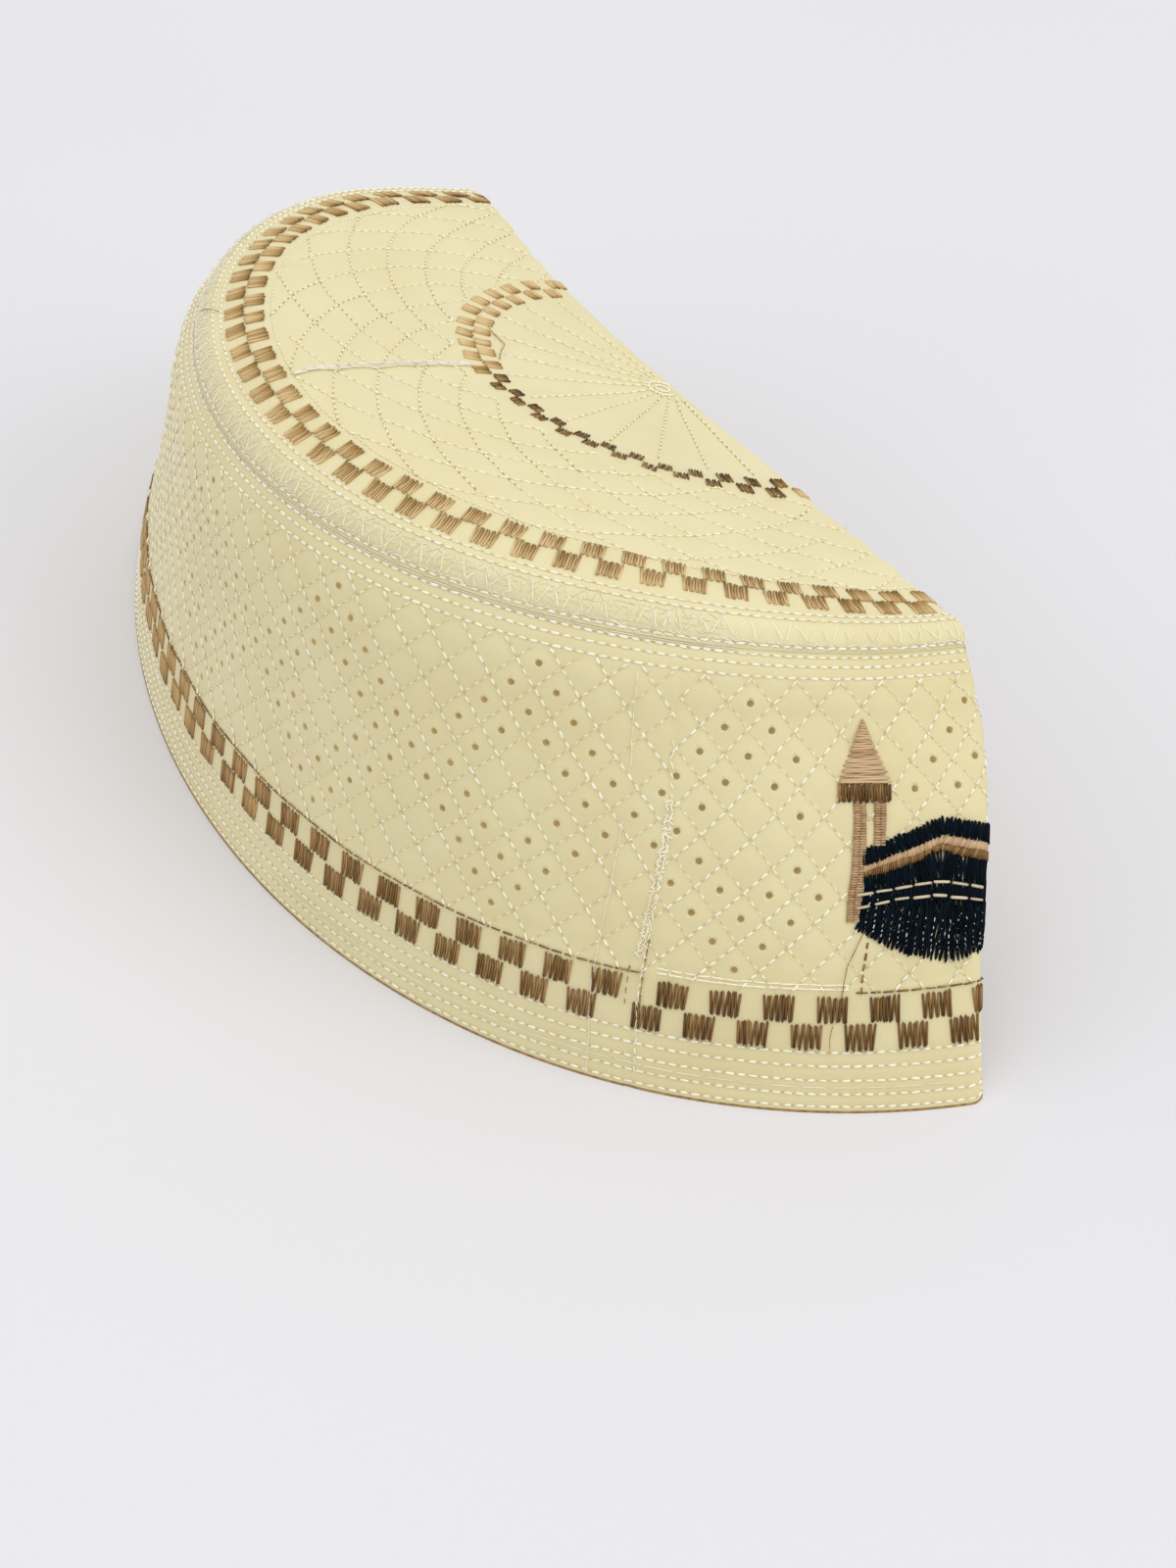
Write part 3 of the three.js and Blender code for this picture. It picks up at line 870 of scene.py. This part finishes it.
def thread_tree():
    """Lays one thread at each step of every path: its length, its turn and how much it varies are inputs."""
    tree = bpy.data.node_groups.new("laid_threads", "GeometryNodeTree")
    tree.interface.new_socket("Paths", in_out="INPUT", socket_type="NodeSocketGeometry")
    for name, (scale, value) in THREAD_INPUTS.items():
        socket = tree.interface.new_socket(name, in_out="INPUT", socket_type="NodeSocketFloat")
        socket.default_value = value * scale
    tree.interface.new_socket("Seed", in_out="INPUT", socket_type="NodeSocketInt")
    tree.interface.new_socket("Material", in_out="INPUT", socket_type="NodeSocketMaterial")
    tree.interface.new_socket("Threads", in_out="OUTPUT", socket_type="NodeSocketGeometry")
    given = add(tree, "NodeGroupInput").node.outputs

    # One random value for each way in which threads differ
    chances = []
    for offset, low in ((1, -1.0), (2, -1.0), (3, -1.0), (4, 0.0)):
        seed = add(tree, MATHS, (given["Seed"], offset), operation="ADD")
        limits = {"Seed": seed, 2: low, 3: 1.0}
        chances.append(add(tree, "FunctionNodeRandomValue", limits, output=1, data_type="FLOAT"))
    turn_chance, length_chance, width_chance, shade_chance = chances

    # Where each thread lies
    curves = add(tree, "GeometryNodeMeshToCurve", {"Mesh": given["Paths"]})
    spaced = {"Curve": curves, "Length": given["Pitch"]}
    steps = add(tree, "GeometryNodeResampleCurve", spaced, mode="LENGTH")
    tangent = add(tree, "GeometryNodeInputTangent")
    ahead = {0: tangent, "Scale": given["Shift"]}
    ahead = add(tree, "ShaderNodeVectorMath", ahead, operation="SCALE")
    moved = add(tree, "GeometryNodeSetPosition", {"Geometry": steps, "Offset": ahead})

    # How it is turned: along the path, its back to the cloth, then by its own angle
    out = add(tree, "GeometryNodeInputNamedAttribute", {"Name": "out"}, data_type="FLOAT_VECTOR")
    facing = add(tree, "FunctionNodeAlignRotationToVector", {"Vector": tangent}, axis="X")
    upright = {"Rotation": facing, "Vector": out}
    upright = add(tree, "FunctionNodeAlignRotationToVector", upright, axis="Z", pivot_axis="X")
    parity = add(tree, MATHS, (add(tree, "GeometryNodeInputIndex"), 2.0), operation="MODULO")
    parity = add(tree, MATHS, (parity, 2.0, -1.0), operation="MULTIPLY_ADD")
    spin = add(tree, MATHS, (parity, given["Zigzag"], given["Turn"]), operation="MULTIPLY_ADD")
    shake = add(tree, MATHS, (turn_chance, given["Shake"]), operation="MULTIPLY")
    spin = add(tree, MATHS, (spin, shake), operation="ADD")
    spin = add(tree, "FunctionNodeEulerToRotation", (add(tree, "ShaderNodeCombineXYZ", {"Z": spin}),))
    turned = {"Rotation": upright, "Rotate By": spin}
    turned = add(tree, "FunctionNodeRotateRotation", turned, rotation_space="LOCAL")

    # How large it is
    reach = add(tree, "GeometryNodeInputNamedAttribute", {"Name": "reach"}, data_type="FLOAT")
    long = add(tree, MATHS, (given["Length"], reach), operation="MULTIPLY")
    varied = add(tree, MATHS, (length_chance, given["Uneven"], 1.0), operation="MULTIPLY_ADD")
    long = add(tree, MATHS, (long, varied), operation="MULTIPLY")
    varied = add(tree, MATHS, (width_chance, given["Uneven"], 1.0), operation="MULTIPLY_ADD")
    wide = add(tree, MATHS, (given["Width"], varied), operation="MULTIPLY")
    size = add(tree, "ShaderNodeCombineXYZ", (long, wide, given["Height"]))

    # The thread itself: a bead that lies along X, with its ends made blunt
    bead = add(tree, "GeometryNodeMeshUVSphere", {"Segments": 4, "Rings": 4, "Radius": 0.5})
    lying = {"Geometry": bead, "Rotation": (0.0, math.pi / 2, 0.0)}
    bead = add(tree, "GeometryNodeTransform", lying)
    place = add(tree, "GeometryNodeInputPosition")
    across = add(tree, "ShaderNodeSeparateXYZ", {"Vector": place}, output="X")
    squared = add(tree, MATHS, (across, across), operation="MULTIPLY")
    thick = add(tree, MATHS, (squared, 2.8, 1.0), operation="MULTIPLY_ADD")
    full = add(tree, MATHS, (squared, -1.6, 1.4), operation="MULTIPLY_ADD")
    blunt = add(tree, "ShaderNodeCombineXYZ", (full, thick, thick))
    blunt = add(tree, "ShaderNodeVectorMath", (place, blunt), operation="MULTIPLY")
    bead = add(tree, "GeometryNodeSetPosition", {"Geometry": bead, "Position": blunt})
    along = add(tree, MATHS, (across, 2.0), operation="MULTIPLY")
    marked = {"Geometry": bead, "Name": "along", "Value": along}
    marked = add(tree, STORE, marked, data_type="FLOAT", domain="POINT")

    laid = {"Points": moved, "Instance": marked, "Rotation": turned, "Scale": size}
    laid = add(tree, "GeometryNodeInstanceOnPoints", laid)
    shaded = {"Geometry": laid, "Name": "shade", "Value": shade_chance}
    shaded = add(tree, STORE, shaded, data_type="FLOAT", domain="INSTANCE")
    real = add(tree, "GeometryNodeRealizeInstances", {"Geometry": shaded})
    smooth = add(tree, "GeometryNodeSetShadeSmooth", {"Geometry": real})
    painted = {"Geometry": smooth, "Material": given["Material"]}
    add(tree, "NodeGroupOutput", {"Threads": add(tree, "GeometryNodeSetMaterial", painted)})
    return tree


THREADS = thread_tree()
SOCKETS = {item.name: item.identifier for item in THREADS.interface.items_tree}


def lay_threads(piece_name, paths, made, seed, **sizes):
    """sizes are in millimetres and degrees, named as the tree's inputs."""
    piece = new_piece(piece_name, paths_mesh(piece_name, paths))
    modifier = piece.modifiers.new("threads", "NODES")
    modifier.node_group = THREADS
    for word, value in sizes.items():
        name = word.capitalize()
        modifier[SOCKETS[name]] = value * THREAD_INPUTS[name][0]
    modifier[SOCKETS["Seed"]] = seed
    modifier[SOCKETS["Material"]] = made
    apply_modifiers(piece)
    return piece


def thread_layer(first_seed):
    """A list of pieces, and a function that lays threads as one more piece of it."""
    pieces = []

    def lay(name, paths, made, **sizes):
        pieces.append(lay_threads(name, paths, made, first_seed + len(pieces), **sizes))

    return pieces, lay


def lattice_paths(bold):
    """The diamonds' bold lines, or their faint ones."""
    paths = []
    cells = round(PATTERN_LENGTH / CELL[0])
    for slope in (-1, 1):
        for n in range(-9, cells + 9):
            middle_around = float(pattern_around(MOTIF_MIDDLE[0] + n * CELL[0]))
            lean, middle = lean_and_middle(middle_around)
            down = np.linspace(LATTICE[0], LATTICE[1], 36)
            around = middle_around + (slope * CELL[0] / CELL[1] + lean) * (down - middle)
            inside = (around > SEAM + 0.3) & (around < SEAM + LOOP - 0.3)
            is_bold = (slope < 0) == (middle_around < BOLD_SWAP)
            if inside.sum() > 2 and is_bold == bold:
                paths.append(path_on_cloth(around[inside], down[inside], 0.15))
    return paths


def crown_lines(start, stop, points, turn):
    """Lines from one radius to another; turn is how far they swing round for each millimetre inwards."""
    down = np.linspace(start, stop, points)
    swing = turn * (CURVES[1] + 0.8 - down)
    angles = [CURVE_PHASE + n * CURVE_PITCH + swing for n in range(SPOKE_COUNT)]
    return [path_on_cloth(crown_around(angle), down, 0.12) for angle in angles]


def lines_by_direction(paths):
    """Parts the lines that run across the view from those along it, where the needle holes show as painted
    shade.
    """
    towards = np.array([-math.sin(CAMERA_AZIMUTH), math.cos(CAMERA_AZIMUTH), 0.0])
    across, along = [], []
    for path in paths:
        heading = unit(np.gradient(path["points"], axis=0))
        facing = np.abs(dot(heading, towards)) > 0.8
        turns = np.flatnonzero(np.diff(facing.astype(int))) + 1
        for part in np.split(np.arange(len(facing)), turns):
            if len(part) > 2:
                piece = {key: value if key == "closed" else value[part] for key, value in path.items()}
                (along if facing[part[0]] else across).append(piece)
    return across, along


def block_row(places, width, tone_at, reach_at=lambda around: 1.0):
    """Short paths across each block, from (around, down) middles; threads lie square to them."""
    paths = []
    for around, down in places:
        steps = around + np.linspace(-width / 2, width / 2, 4)
        looks = dict(reach=reach_at(around), tone=tone_at(around))
        paths.append(path_on_cloth(steps, np.full(4, float(down)), 0.14, **looks))
    return paths


def outer_ring_place(angle, radius):
    """The outer ring, with the sewn ring's small faults."""
    degrees = math.degrees(angle)
    from_end = (degrees + 180) % 360 - 180
    return angle + math.radians(bump(from_end, OUTER_DRIFT)), radius - bump(degrees, OUTER_DENT)


def inner_ring_place(angle, radius):
    """The inner ring, squashed, with the sewn ring's small faults."""
    angle += math.radians(bump(math.degrees(angle), INNER_DRIFT))
    return angle, radius / math.hypot(math.cos(angle), math.sin(angle) / RING_SQUASH)


def ring_places(first, pitch, count, place_at, radius):
    """(around, down) of a ring's blocks."""
    places = [place_at(first + n * pitch, radius) for n in range(count)]
    return [(float(crown_around(np.array(angle))), down) for angle, down in places]


def ring_degrees(around):
    return np.degrees(open_angle(around))


def outer_ring_painted_sheen(around):
    """The outer ring is palest over the front and the left, painted sheen where the light grazes its satin.
    """
    angle = ring_degrees(around)
    return 0.74 - 0.04 * smoothstep(angle, 150, 175) - 0.08 * (1 - smoothstep(angle, 20, 50))


def inner_ring_tone_and_sheen(around):
    """The inner ring is dark over the front of the crown and tan towards the left; part of the left's
    paleness is painted sheen.
    """
    return 0.22 + 0.66 * smoothstep(ring_degrees(around), 90, 112)


def inner_ring_reach(around):
    """The share of its width that the inner ring keeps where a crease over the front narrows it."""
    return 1 - INNER_PINCH * between(ring_degrees(around), (16, 34), (88, 104))


def band_block_painted_sheen(around):
    """The band's blocks are paler towards the left, painted sheen where the light grazes their satin."""
    left = (around + 60) % LOOP - 60
    return 0.43 + 0.16 * smoothstep(left, 49, 60) + 0.36 * smoothstep(left, 70, 200)


def crown_place(along, forward):
    """around and down for a place given across the crown."""
    angle = math.atan2(forward, along) % math.tau
    return float(crown_around(np.array(angle))), math.hypot(along, forward)


def band_block_places(first, down):
    along = first + BLOCK_PITCH * np.arange(round(PATTERN_LENGTH / BLOCK_PITCH))
    around = pattern_around(along)
    return [(float(a), down) for a in around if SEAM + 1.5 < a < SEAM + LOOP - 1.5]


def path_through(points, rise, **more):
    """A path along straight stretches between (around, down) points."""
    points = np.array(points, float)
    lengths = np.concatenate([[0], np.cumsum(np.linalg.norm(np.diff(points, axis=0), axis=1))])
    walked = np.linspace(0, lengths[-1], max(2, round(lengths[-1] / PATH_STEP) + 1))
    around, down = (np.interp(walked, lengths, points[:, k]) for k in (0, 1))
    return path_on_cloth(around, down, rise, **more)


def standing_threads(part, top, foot, rows, rise=0.25, tone=0.5):
    """Rows of upright threads that fill the building between two of its outlines. Rows overlap."""
    around = np.arange(BUILDING["left"], BUILDING["right"][part], 0.5)
    high, low = (np.interp(around, *zip(*BUILDING[edge])) for edge in (top, foot))
    tall = (low - high) / rows
    looks = dict(reach=tall * (1.3 if rows > 1 else 1), tone=tone)
    return [path_on_cloth(around, high + (k + 0.5) * tall, rise, **looks) for k in range(rows)]


STITCH = dict(pitch=1.68, length=1.16, width=0.38, height=0.38, uneven=0.18, shake=7)
# Dips: small darker beads between the stitches, painted shade where the thread dives into the cloth.
NEEDLE_DIP_SHADE = dict(pitch=1.68, shift=0.84, length=0.4, width=0.16, height=0.16, uneven=0.3, shake=4)
SATIN = dict(pitch=0.41, width=0.4, height=0.46, turn=90, zigzag=3, shake=3, uneven=0.1)


def stitch_crown():
    pieces, lay = thread_layer(100)
    rows = [row_round(down, rise=0.14) for down in BORDER_ROWS]
    lay("crown_border_stitches", rows, WHITE_THREAD, **STITCH)
    lay("crown_border_dips", rows, NEEDLE_HOLE_PAINTED_SHADE, **NEEDLE_DIP_SHADE)
    edge = [row_round(down, rise=0.1) for down in EDGE_ROWS]
    rough = dict(pitch=1.1, length=1.3, width=0.18, height=0.2, shake=30, uneven=0.5)
    lay("crown_edge_stitches", edge, FADED_THREAD, **rough)
    zigzag = dict(pitch=1.75, length=3.3, width=0.15, height=0.17, turn=90, zigzag=24, shake=12)
    lay("crown_zigzag", [row_round(ZIGZAG_ROW, rise=0.12)], WHITE_THREAD, **zigzag)
    line = dict(pitch=1.15, length=0.7, width=0.28, height=0.28, uneven=0.3)
    lay("ring_inner_line", [row_round(RING_LINE, rise=0.1)], CREAM_STITCH, **line)
    stitch_crown_lines(lay)
    stitch_rings(lay)
    stitch_crown_ends(lay)
    return pieces


def stitch_crown_lines(lay):
    curves = crown_lines(*CURVES, 26, CURVE_TURN) + crown_lines(*CURVES, 26, -CURVE_TURN)
    across, along = lines_by_direction(curves + crown_lines(*SPOKES, 18, 0.0))
    raised = dict(pitch=1.65, length=0.95, width=0.36, height=0.36, uneven=0.35, shake=8)
    lay("crown_lines_raised", across, CREAM_STITCH, **raised)
    dips = dict(NEEDLE_DIP_SHADE, pitch=1.65, shift=0.8, length=0.3)
    lay("crown_lines_raised_dips", across, NEEDLE_HOLE_PAINTED_SHADE, **dips)
    sunk = dict(pitch=1.5, length=0.84, width=0.36, height=0.36, uneven=0.3)
    lay("crown_lines_sunk", along, CREAM_STITCH, **sunk)
    # Darker beads on the lines along the view: painted shade of the needle holes.
    holes = dict(pitch=1.5, shift=0.75, length=0.42, width=0.26, height=0.22, uneven=0.3)
    lay("crown_lines_sunk_holes", along, NEEDLE_SHADE, **holes)


def stitch_rings(lay):
    for side, radius, offset in (("inside", RING_OUTER[0], 0.0), ("outside", RING_OUTER[1], 0.5)):
        first = OUTER_FIRST + offset * OUTER_BLOCK
        places = ring_places(first, OUTER_BLOCK, OUTER_BLOCKS, outer_ring_place, radius)
        blocks = block_row(places, OUTER_SIZE[0], outer_ring_painted_sheen)
        lay("ring_outer_blocks_" + side, blocks, TAN_THREAD, length=OUTER_SIZE[1], **SATIN)
    for side, radius, offset in (("inside", RING_INNER[0], 0.0), ("outside", RING_INNER[1], 0.5)):
        first = INNER_FIRST + offset * INNER_BLOCK
        places = ring_places(first, INNER_BLOCK, INNER_BLOCKS, inner_ring_place, radius)
        to_middle = sum(RING_INNER) / 2 - radius
        places = [(around, down + to_middle * (1 - inner_ring_reach(around))) for around, down in places]
        blocks = block_row(places, INNER_SIZE[0], inner_ring_tone_and_sheen, inner_ring_reach)
        lay("ring_inner_blocks_" + side, blocks, TAN_THREAD, length=INNER_SIZE[1], **SATIN)


def stitch_crown_ends(lay):
    """The rosette at the middle, and the threads that the machine left between and beside the rings."""
    rosette = []
    for radius in (1.1, 2.3):
        angle = np.linspace(0, math.tau, 16, endpoint=False)
        x = ROSETTE[0] + radius * np.cos(angle)
        y = ROSETTE[1] + radius * np.sin(angle)
        around = crown_around(np.arctan2(y, x) % math.tau)
        rosette.append(path_on_cloth(around, np.hypot(x, y), 0.2, closed=True))
    lay("crown_rosette", rosette, WHITE_THREAD, pitch=0.8, length=0.9, width=0.36, height=0.36, shake=12)
    travel = []
    for shift in (-0.5, -0.1, 0.35):
        ends = ((-7.5 + shift, 35.5), (-8.3 + shift * 1.4, 50), (-8.5 + shift * 0.7, 64))
        travel.append(path_through([crown_place(*end) for end in ends], rise=0.3))
    strand = dict(pitch=1.9, length=2.3, width=0.3, height=0.3, shake=7, uneven=0.3)
    lay("crown_travel_thread", travel, FADED_THREAD, **strand)
    fuzz = [row_round(down, 45, 245, rise=0.08) for down in FUZZ_ROWS]
    strand = dict(pitch=1.05, length=1.3, width=0.15, height=0.15, shake=85, uneven=0.5)
    lay("crown_border_fuzz", fuzz, FADED_THREAD, **strand)
    ends = [
        path_through([(186, 74), (187.5, 75), (189.5, 77)], rise=0.35),
        path_through([crown_place(*end) for end in ((-20, 23.5), (-14, 24), (-9, 28))], rise=0.25),
    ]
    lay("crown_loose_ends", ends, TAN_THREAD, pitch=0.7, length=0.85, width=0.18, height=0.18, shake=5)


def stitch_band():
    pieces, lay = thread_layer(200)
    rows = [row_round(down, rise=0.14) for down in SHOULDER_ROWS + HEM_ROWS]
    lay("row_stitches", rows, WHITE_THREAD, **STITCH)
    lay("row_dips", rows, NEEDLE_HOLE_PAINTED_SHADE, **NEEDLE_DIP_SHADE)
    rows = [row_round(*stretch, rise=0.16) for stretch in LONG_STITCH_ROWS]
    lay("row_long_stitches", rows, FADED_THREAD, pitch=4.5, length=4.6, width=0.17, height=0.17, shake=1)
    bold, faint = lattice_paths(True), lattice_paths(False)
    dips = dict(NEEDLE_DIP_SHADE, pitch=1.7, shift=0.85)
    strand = dict(pitch=1.7, length=1.05, width=0.35, height=0.36, uneven=0.22, shake=9)
    lay("lattice_bold", bold, WHITE_THREAD, **strand)
    lay("lattice_bold_dips", bold, NEEDLE_HOLE_PAINTED_SHADE, **dips)
    strand = dict(pitch=1.7, length=0.6, width=0.27, height=0.27, uneven=0.45, shake=9)
    lay("lattice_faint", faint, CREAM_STITCH, **strand)
    lay("lattice_faint_dips", faint, NEEDLE_HOLE_PAINTED_SHADE, **dict(dips, length=0.5, width=0.1))
    for name, (first, down) in (("upper_blocks", UPPER_BLOCKS), ("lower_blocks", LOWER_BLOCKS)):
        blocks = block_row(band_block_places(first, down), BLOCK_SIZE[0], band_block_painted_sheen)
        lay(name, blocks, BROWN_THREAD, length=BLOCK_SIZE[1], **SATIN)
    stitch_seam(lay)
    stitch_beside_seam(lay)
    stitch_picture(lay)
    return pieces


def stitch_seam(lay):
    strand = dict(pitch=1.5, length=1.2, width=0.24, height=0.26, shake=25, uneven=0.4)
    run = path_through([(SEAM - 0.2, 95), (SEAM - 0.6, 144)], rise=0.22)
    lay("seam_stitches", [run], WHITE_THREAD, **strand)
    strand = dict(pitch=0.5, length=1.1, width=0.18, height=0.2, shake=80, uneven=0.5)
    beside = [path_through([(SEAM + s, 103), (SEAM + 0.4 + s, 126)], rise=0.24) for s in (-0.35, 0.35)]
    lay("seam_overcast", beside, WHITE_THREAD, **strand)
    strand = dict(pitch=1.3, length=1.2, width=0.18, height=0.2, shake=8, uneven=0.3)
    brown = [
        path_through([(SEAM + 1.5, 128.3), (SEAM + 1.4, 133.4)], rise=0.3),
        path_through([(SEAM - 0.6, 124.0), (SEAM - 0.9, 134)], rise=0.3),
    ]
    lay("seam_line", brown, TAN_THREAD, **strand)
    closing = path_through([(SEAM + 0.3, 80.5), (SEAM, 127)], rise=-0.05, tone=0.8)
    lay("seam_closing", [closing], TAN_THREAD, **dict(strand, width=0.1, height=0.1))


def stitch_beside_seam(lay):
    """The border's line over the blocks, and the single threads near the seam and the picture."""
    line = row_round(BORDER_LINE, SEAM + 0.5, SEAM + LOOP - 33.4, rise=0.18)
    strand = dict(pitch=2.0, length=1.9, width=0.28, height=0.28, shake=3, uneven=0.2)
    lay("border_line", [line], BROWN_THREAD, **strand)
    guide = path_through([(17.3, 118.3), (17.2, 128.3)], rise=0.15)
    lay("picture_guide", [guide], BROWN_THREAD, pitch=1.5, length=1.1, width=0.3, height=0.3, shake=5)
    double = [row_round(down, 20, 47, rise=0.18) for down in BORDER_WHITE_LINES]
    lay("border_white_line", double, WHITE_THREAD, pitch=1.9, length=2.0, width=0.24, height=0.24, shake=4)
    ends = (((57.5, 108), (57.2, 145.5)), ((57.6, 86), (56.6, 98)))
    strays = [path_through(pair, rise=0.2) for pair in ends]
    lay("band_stray_threads", strays, FADED_THREAD, pitch=1.9, length=2.0, width=0.16, height=0.16, shake=4)
    loose = [
        path_through([(18.1, 119.6), (18.9, 121.6), (19.9, 125), (20.1, 129)], rise=0.35, tone=0.35),
        path_through([(20.9, 132.6), (21.4, 135.5), (21.3, 137.5)], rise=0.55, tone=0.7),
    ]
    lay("band_loose_ends", loose, TAN_THREAD, pitch=0.6, length=0.75, width=0.15, height=0.15, shake=5)


def stitch_picture(lay):
    """The traditional picture: a minaret in two browns, and a navy building with a tan band."""
    apex, base = ROOF["apex"], ROOF["base"]
    down = np.linspace(apex[1], base, 14)
    share = (down - apex[1]) / (base - apex[1])
    left, right = (apex[0] + (ROOF[side] - apex[0]) * share for side in ("left", "right"))
    roof = path_on_cloth((left + right) / 2, down, 0.3, reach=left - right + 0.3, tone=0.86)
    lying = dict(SATIN, pitch=0.36, uneven=0.03)
    lay("minaret_roof", [roof], PICTURE_TAN, length=1.0, **lying)
    ends = [(ROOF["right"] - 0.3, base + 1.5), (ROOF["left"] + 0.2, base + 1.5)]
    lay("minaret_eaves", [path_through(ends, rise=0.32, tone=0.42)], BROWN_THREAD, length=2.7, **SATIN)
    columns = []
    for column in COLUMNS:
        for shift in (-0.25 * column["width"], 0.25 * column["width"]):
            ends = [(middle + shift, down) for middle, down in (column["top"], column["foot"])]
            columns.append(path_through(ends, rise=0.24, reach=column["width"] * 0.56, tone=0.62))
    lay("minaret_columns", columns, PICTURE_TAN, length=1.0, **lying)
    navy = standing_threads("top", "top", "band_top", 1)
    navy += standing_threads("foot", "band_foot", "foot", 4)
    upright = dict(SATIN, pitch=0.33, uneven=0.14)
    lay("building_walls", navy, NAVY_THREAD, length=1.0, **upright)
    light = standing_threads("band", "band_top", "band_foot", 2, rise=0.3, tone=0.8)[:1]
    dark = standing_threads("band", "band_top", "band_foot", 2, rise=0.3, tone=0.5)[1:]
    lay("building_band_light", light, PICTURE_TAN, length=0.9, **dict(upright, turn=65))
    lay("building_band_dark", dark, BROWN_THREAD, length=0.95, **dict(upright, turn=70))
    lines = [path_through(points, rise=0.62) for points in BUILDING["lines"]]
    lay("building_lines", lines, CREAM_THREAD, pitch=2.7, length=2.55, width=0.42, height=0.36, shake=3)
    specks = []
    for lift in (0.8, 1.5, 2.3, 3.2, 4.2, 5.4):
        points = [(around, down - lift) for around, down in BUILDING["foot"][1:]]
        specks.append(path_through(points, rise=0.5))
    fine = dict(pitch=1.3, length=0.34, width=0.09, height=0.12, turn=90, shake=16, uneven=0.8)
    lay("building_specks", specks, FADED_THREAD, **fine)


# Stage, in metres
FLOOR_REACH = 12.0


def make_floor():
    mesh = bpy.data.meshes.new("table")
    corners = [(x * FLOOR_REACH, y * FLOOR_REACH, 0) for x, y in ((-1, -1), (1, -1), (1, 1), (-1, 1))]
    mesh.from_pydata(corners, [], [(0, 1, 2, 3)])
    mesh.materials.append(table_laminate())
    floor = new_piece("table", mesh)


def make_light(name, place, size, power, target=(0, 0, 0), colour="#FFFFFF"):
    light = bpy.data.lights.new(name, "AREA")
    light.shape = "RECTANGLE"
    light.size, light.size_y = size
    light.energy = power
    light.color = linear(colour)[:3]
    lamp = bpy.data.objects.new(name, light)
    lamp.location = place
    lamp.rotation_euler = (Vector(target) - Vector(place)).to_track_quat("-Z", "Y").to_euler()
    bpy.context.scene.collection.objects.link(lamp)


def make_studio():
    world = bpy.data.worlds.new("studio")
    world.use_nodes = True
    background = world.node_tree.nodes["Background"]
    background.inputs["Color"].default_value = linear("#F3F5F9")
    background.inputs["Strength"].default_value = 0.81
    bpy.context.scene.world = world
    make_light("soft_window", (1.2, 0.8, 1.1), (1.4, 1.0), 5.9, colour="#FFFDF8")
    make_light("top_panel", (0.12, 0.12, 1.7), (1.4, 1.4), 6.2, target=(0.06, -0.04, 0))
    make_light("front_fill", (-0.4, -1.3, 0.8), (1.2, 0.8), 1.5)


CAMERA_PLACE = (0.3388, -0.1781, 0.3088)
CAMERA_AZIMUTH = math.radians(58.8)
CAMERA_DOWN = math.radians(40.1)
CAMERA_LENS = 67.5
CAMERA_SHIFT = (0.0018, 0.0012)


def make_camera():
    camera = bpy.data.cameras.new("camera")
    camera.sensor_width = 36.0
    camera.lens = CAMERA_LENS
    camera.shift_x, camera.shift_y = CAMERA_SHIFT
    viewer = bpy.data.objects.new("camera", camera)
    x, y = -math.sin(CAMERA_AZIMUTH), math.cos(CAMERA_AZIMUTH)
    flat = math.cos(CAMERA_DOWN)
    look = Vector((x * flat, y * flat, -math.sin(CAMERA_DOWN)))
    viewer.location = CAMERA_PLACE
    viewer.rotation_euler = look.to_track_quat("-Z", "Y").to_euler()
    bpy.context.scene.collection.objects.link(viewer)
    bpy.context.scene.camera = viewer


make_camera()
make_floor()
make_studio()
bpy.context.scene.view_settings.view_transform = "Standard"

crown = make_crown()
band = make_band()
crown_threads = stitch_crown()
band_threads = stitch_band()

for cloth, threads, solid in ((crown, crown_threads, "crown"), (band, band_threads, "side_band")):
    for piece in [cloth] + threads:
        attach(piece, "root")
    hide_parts(solid)
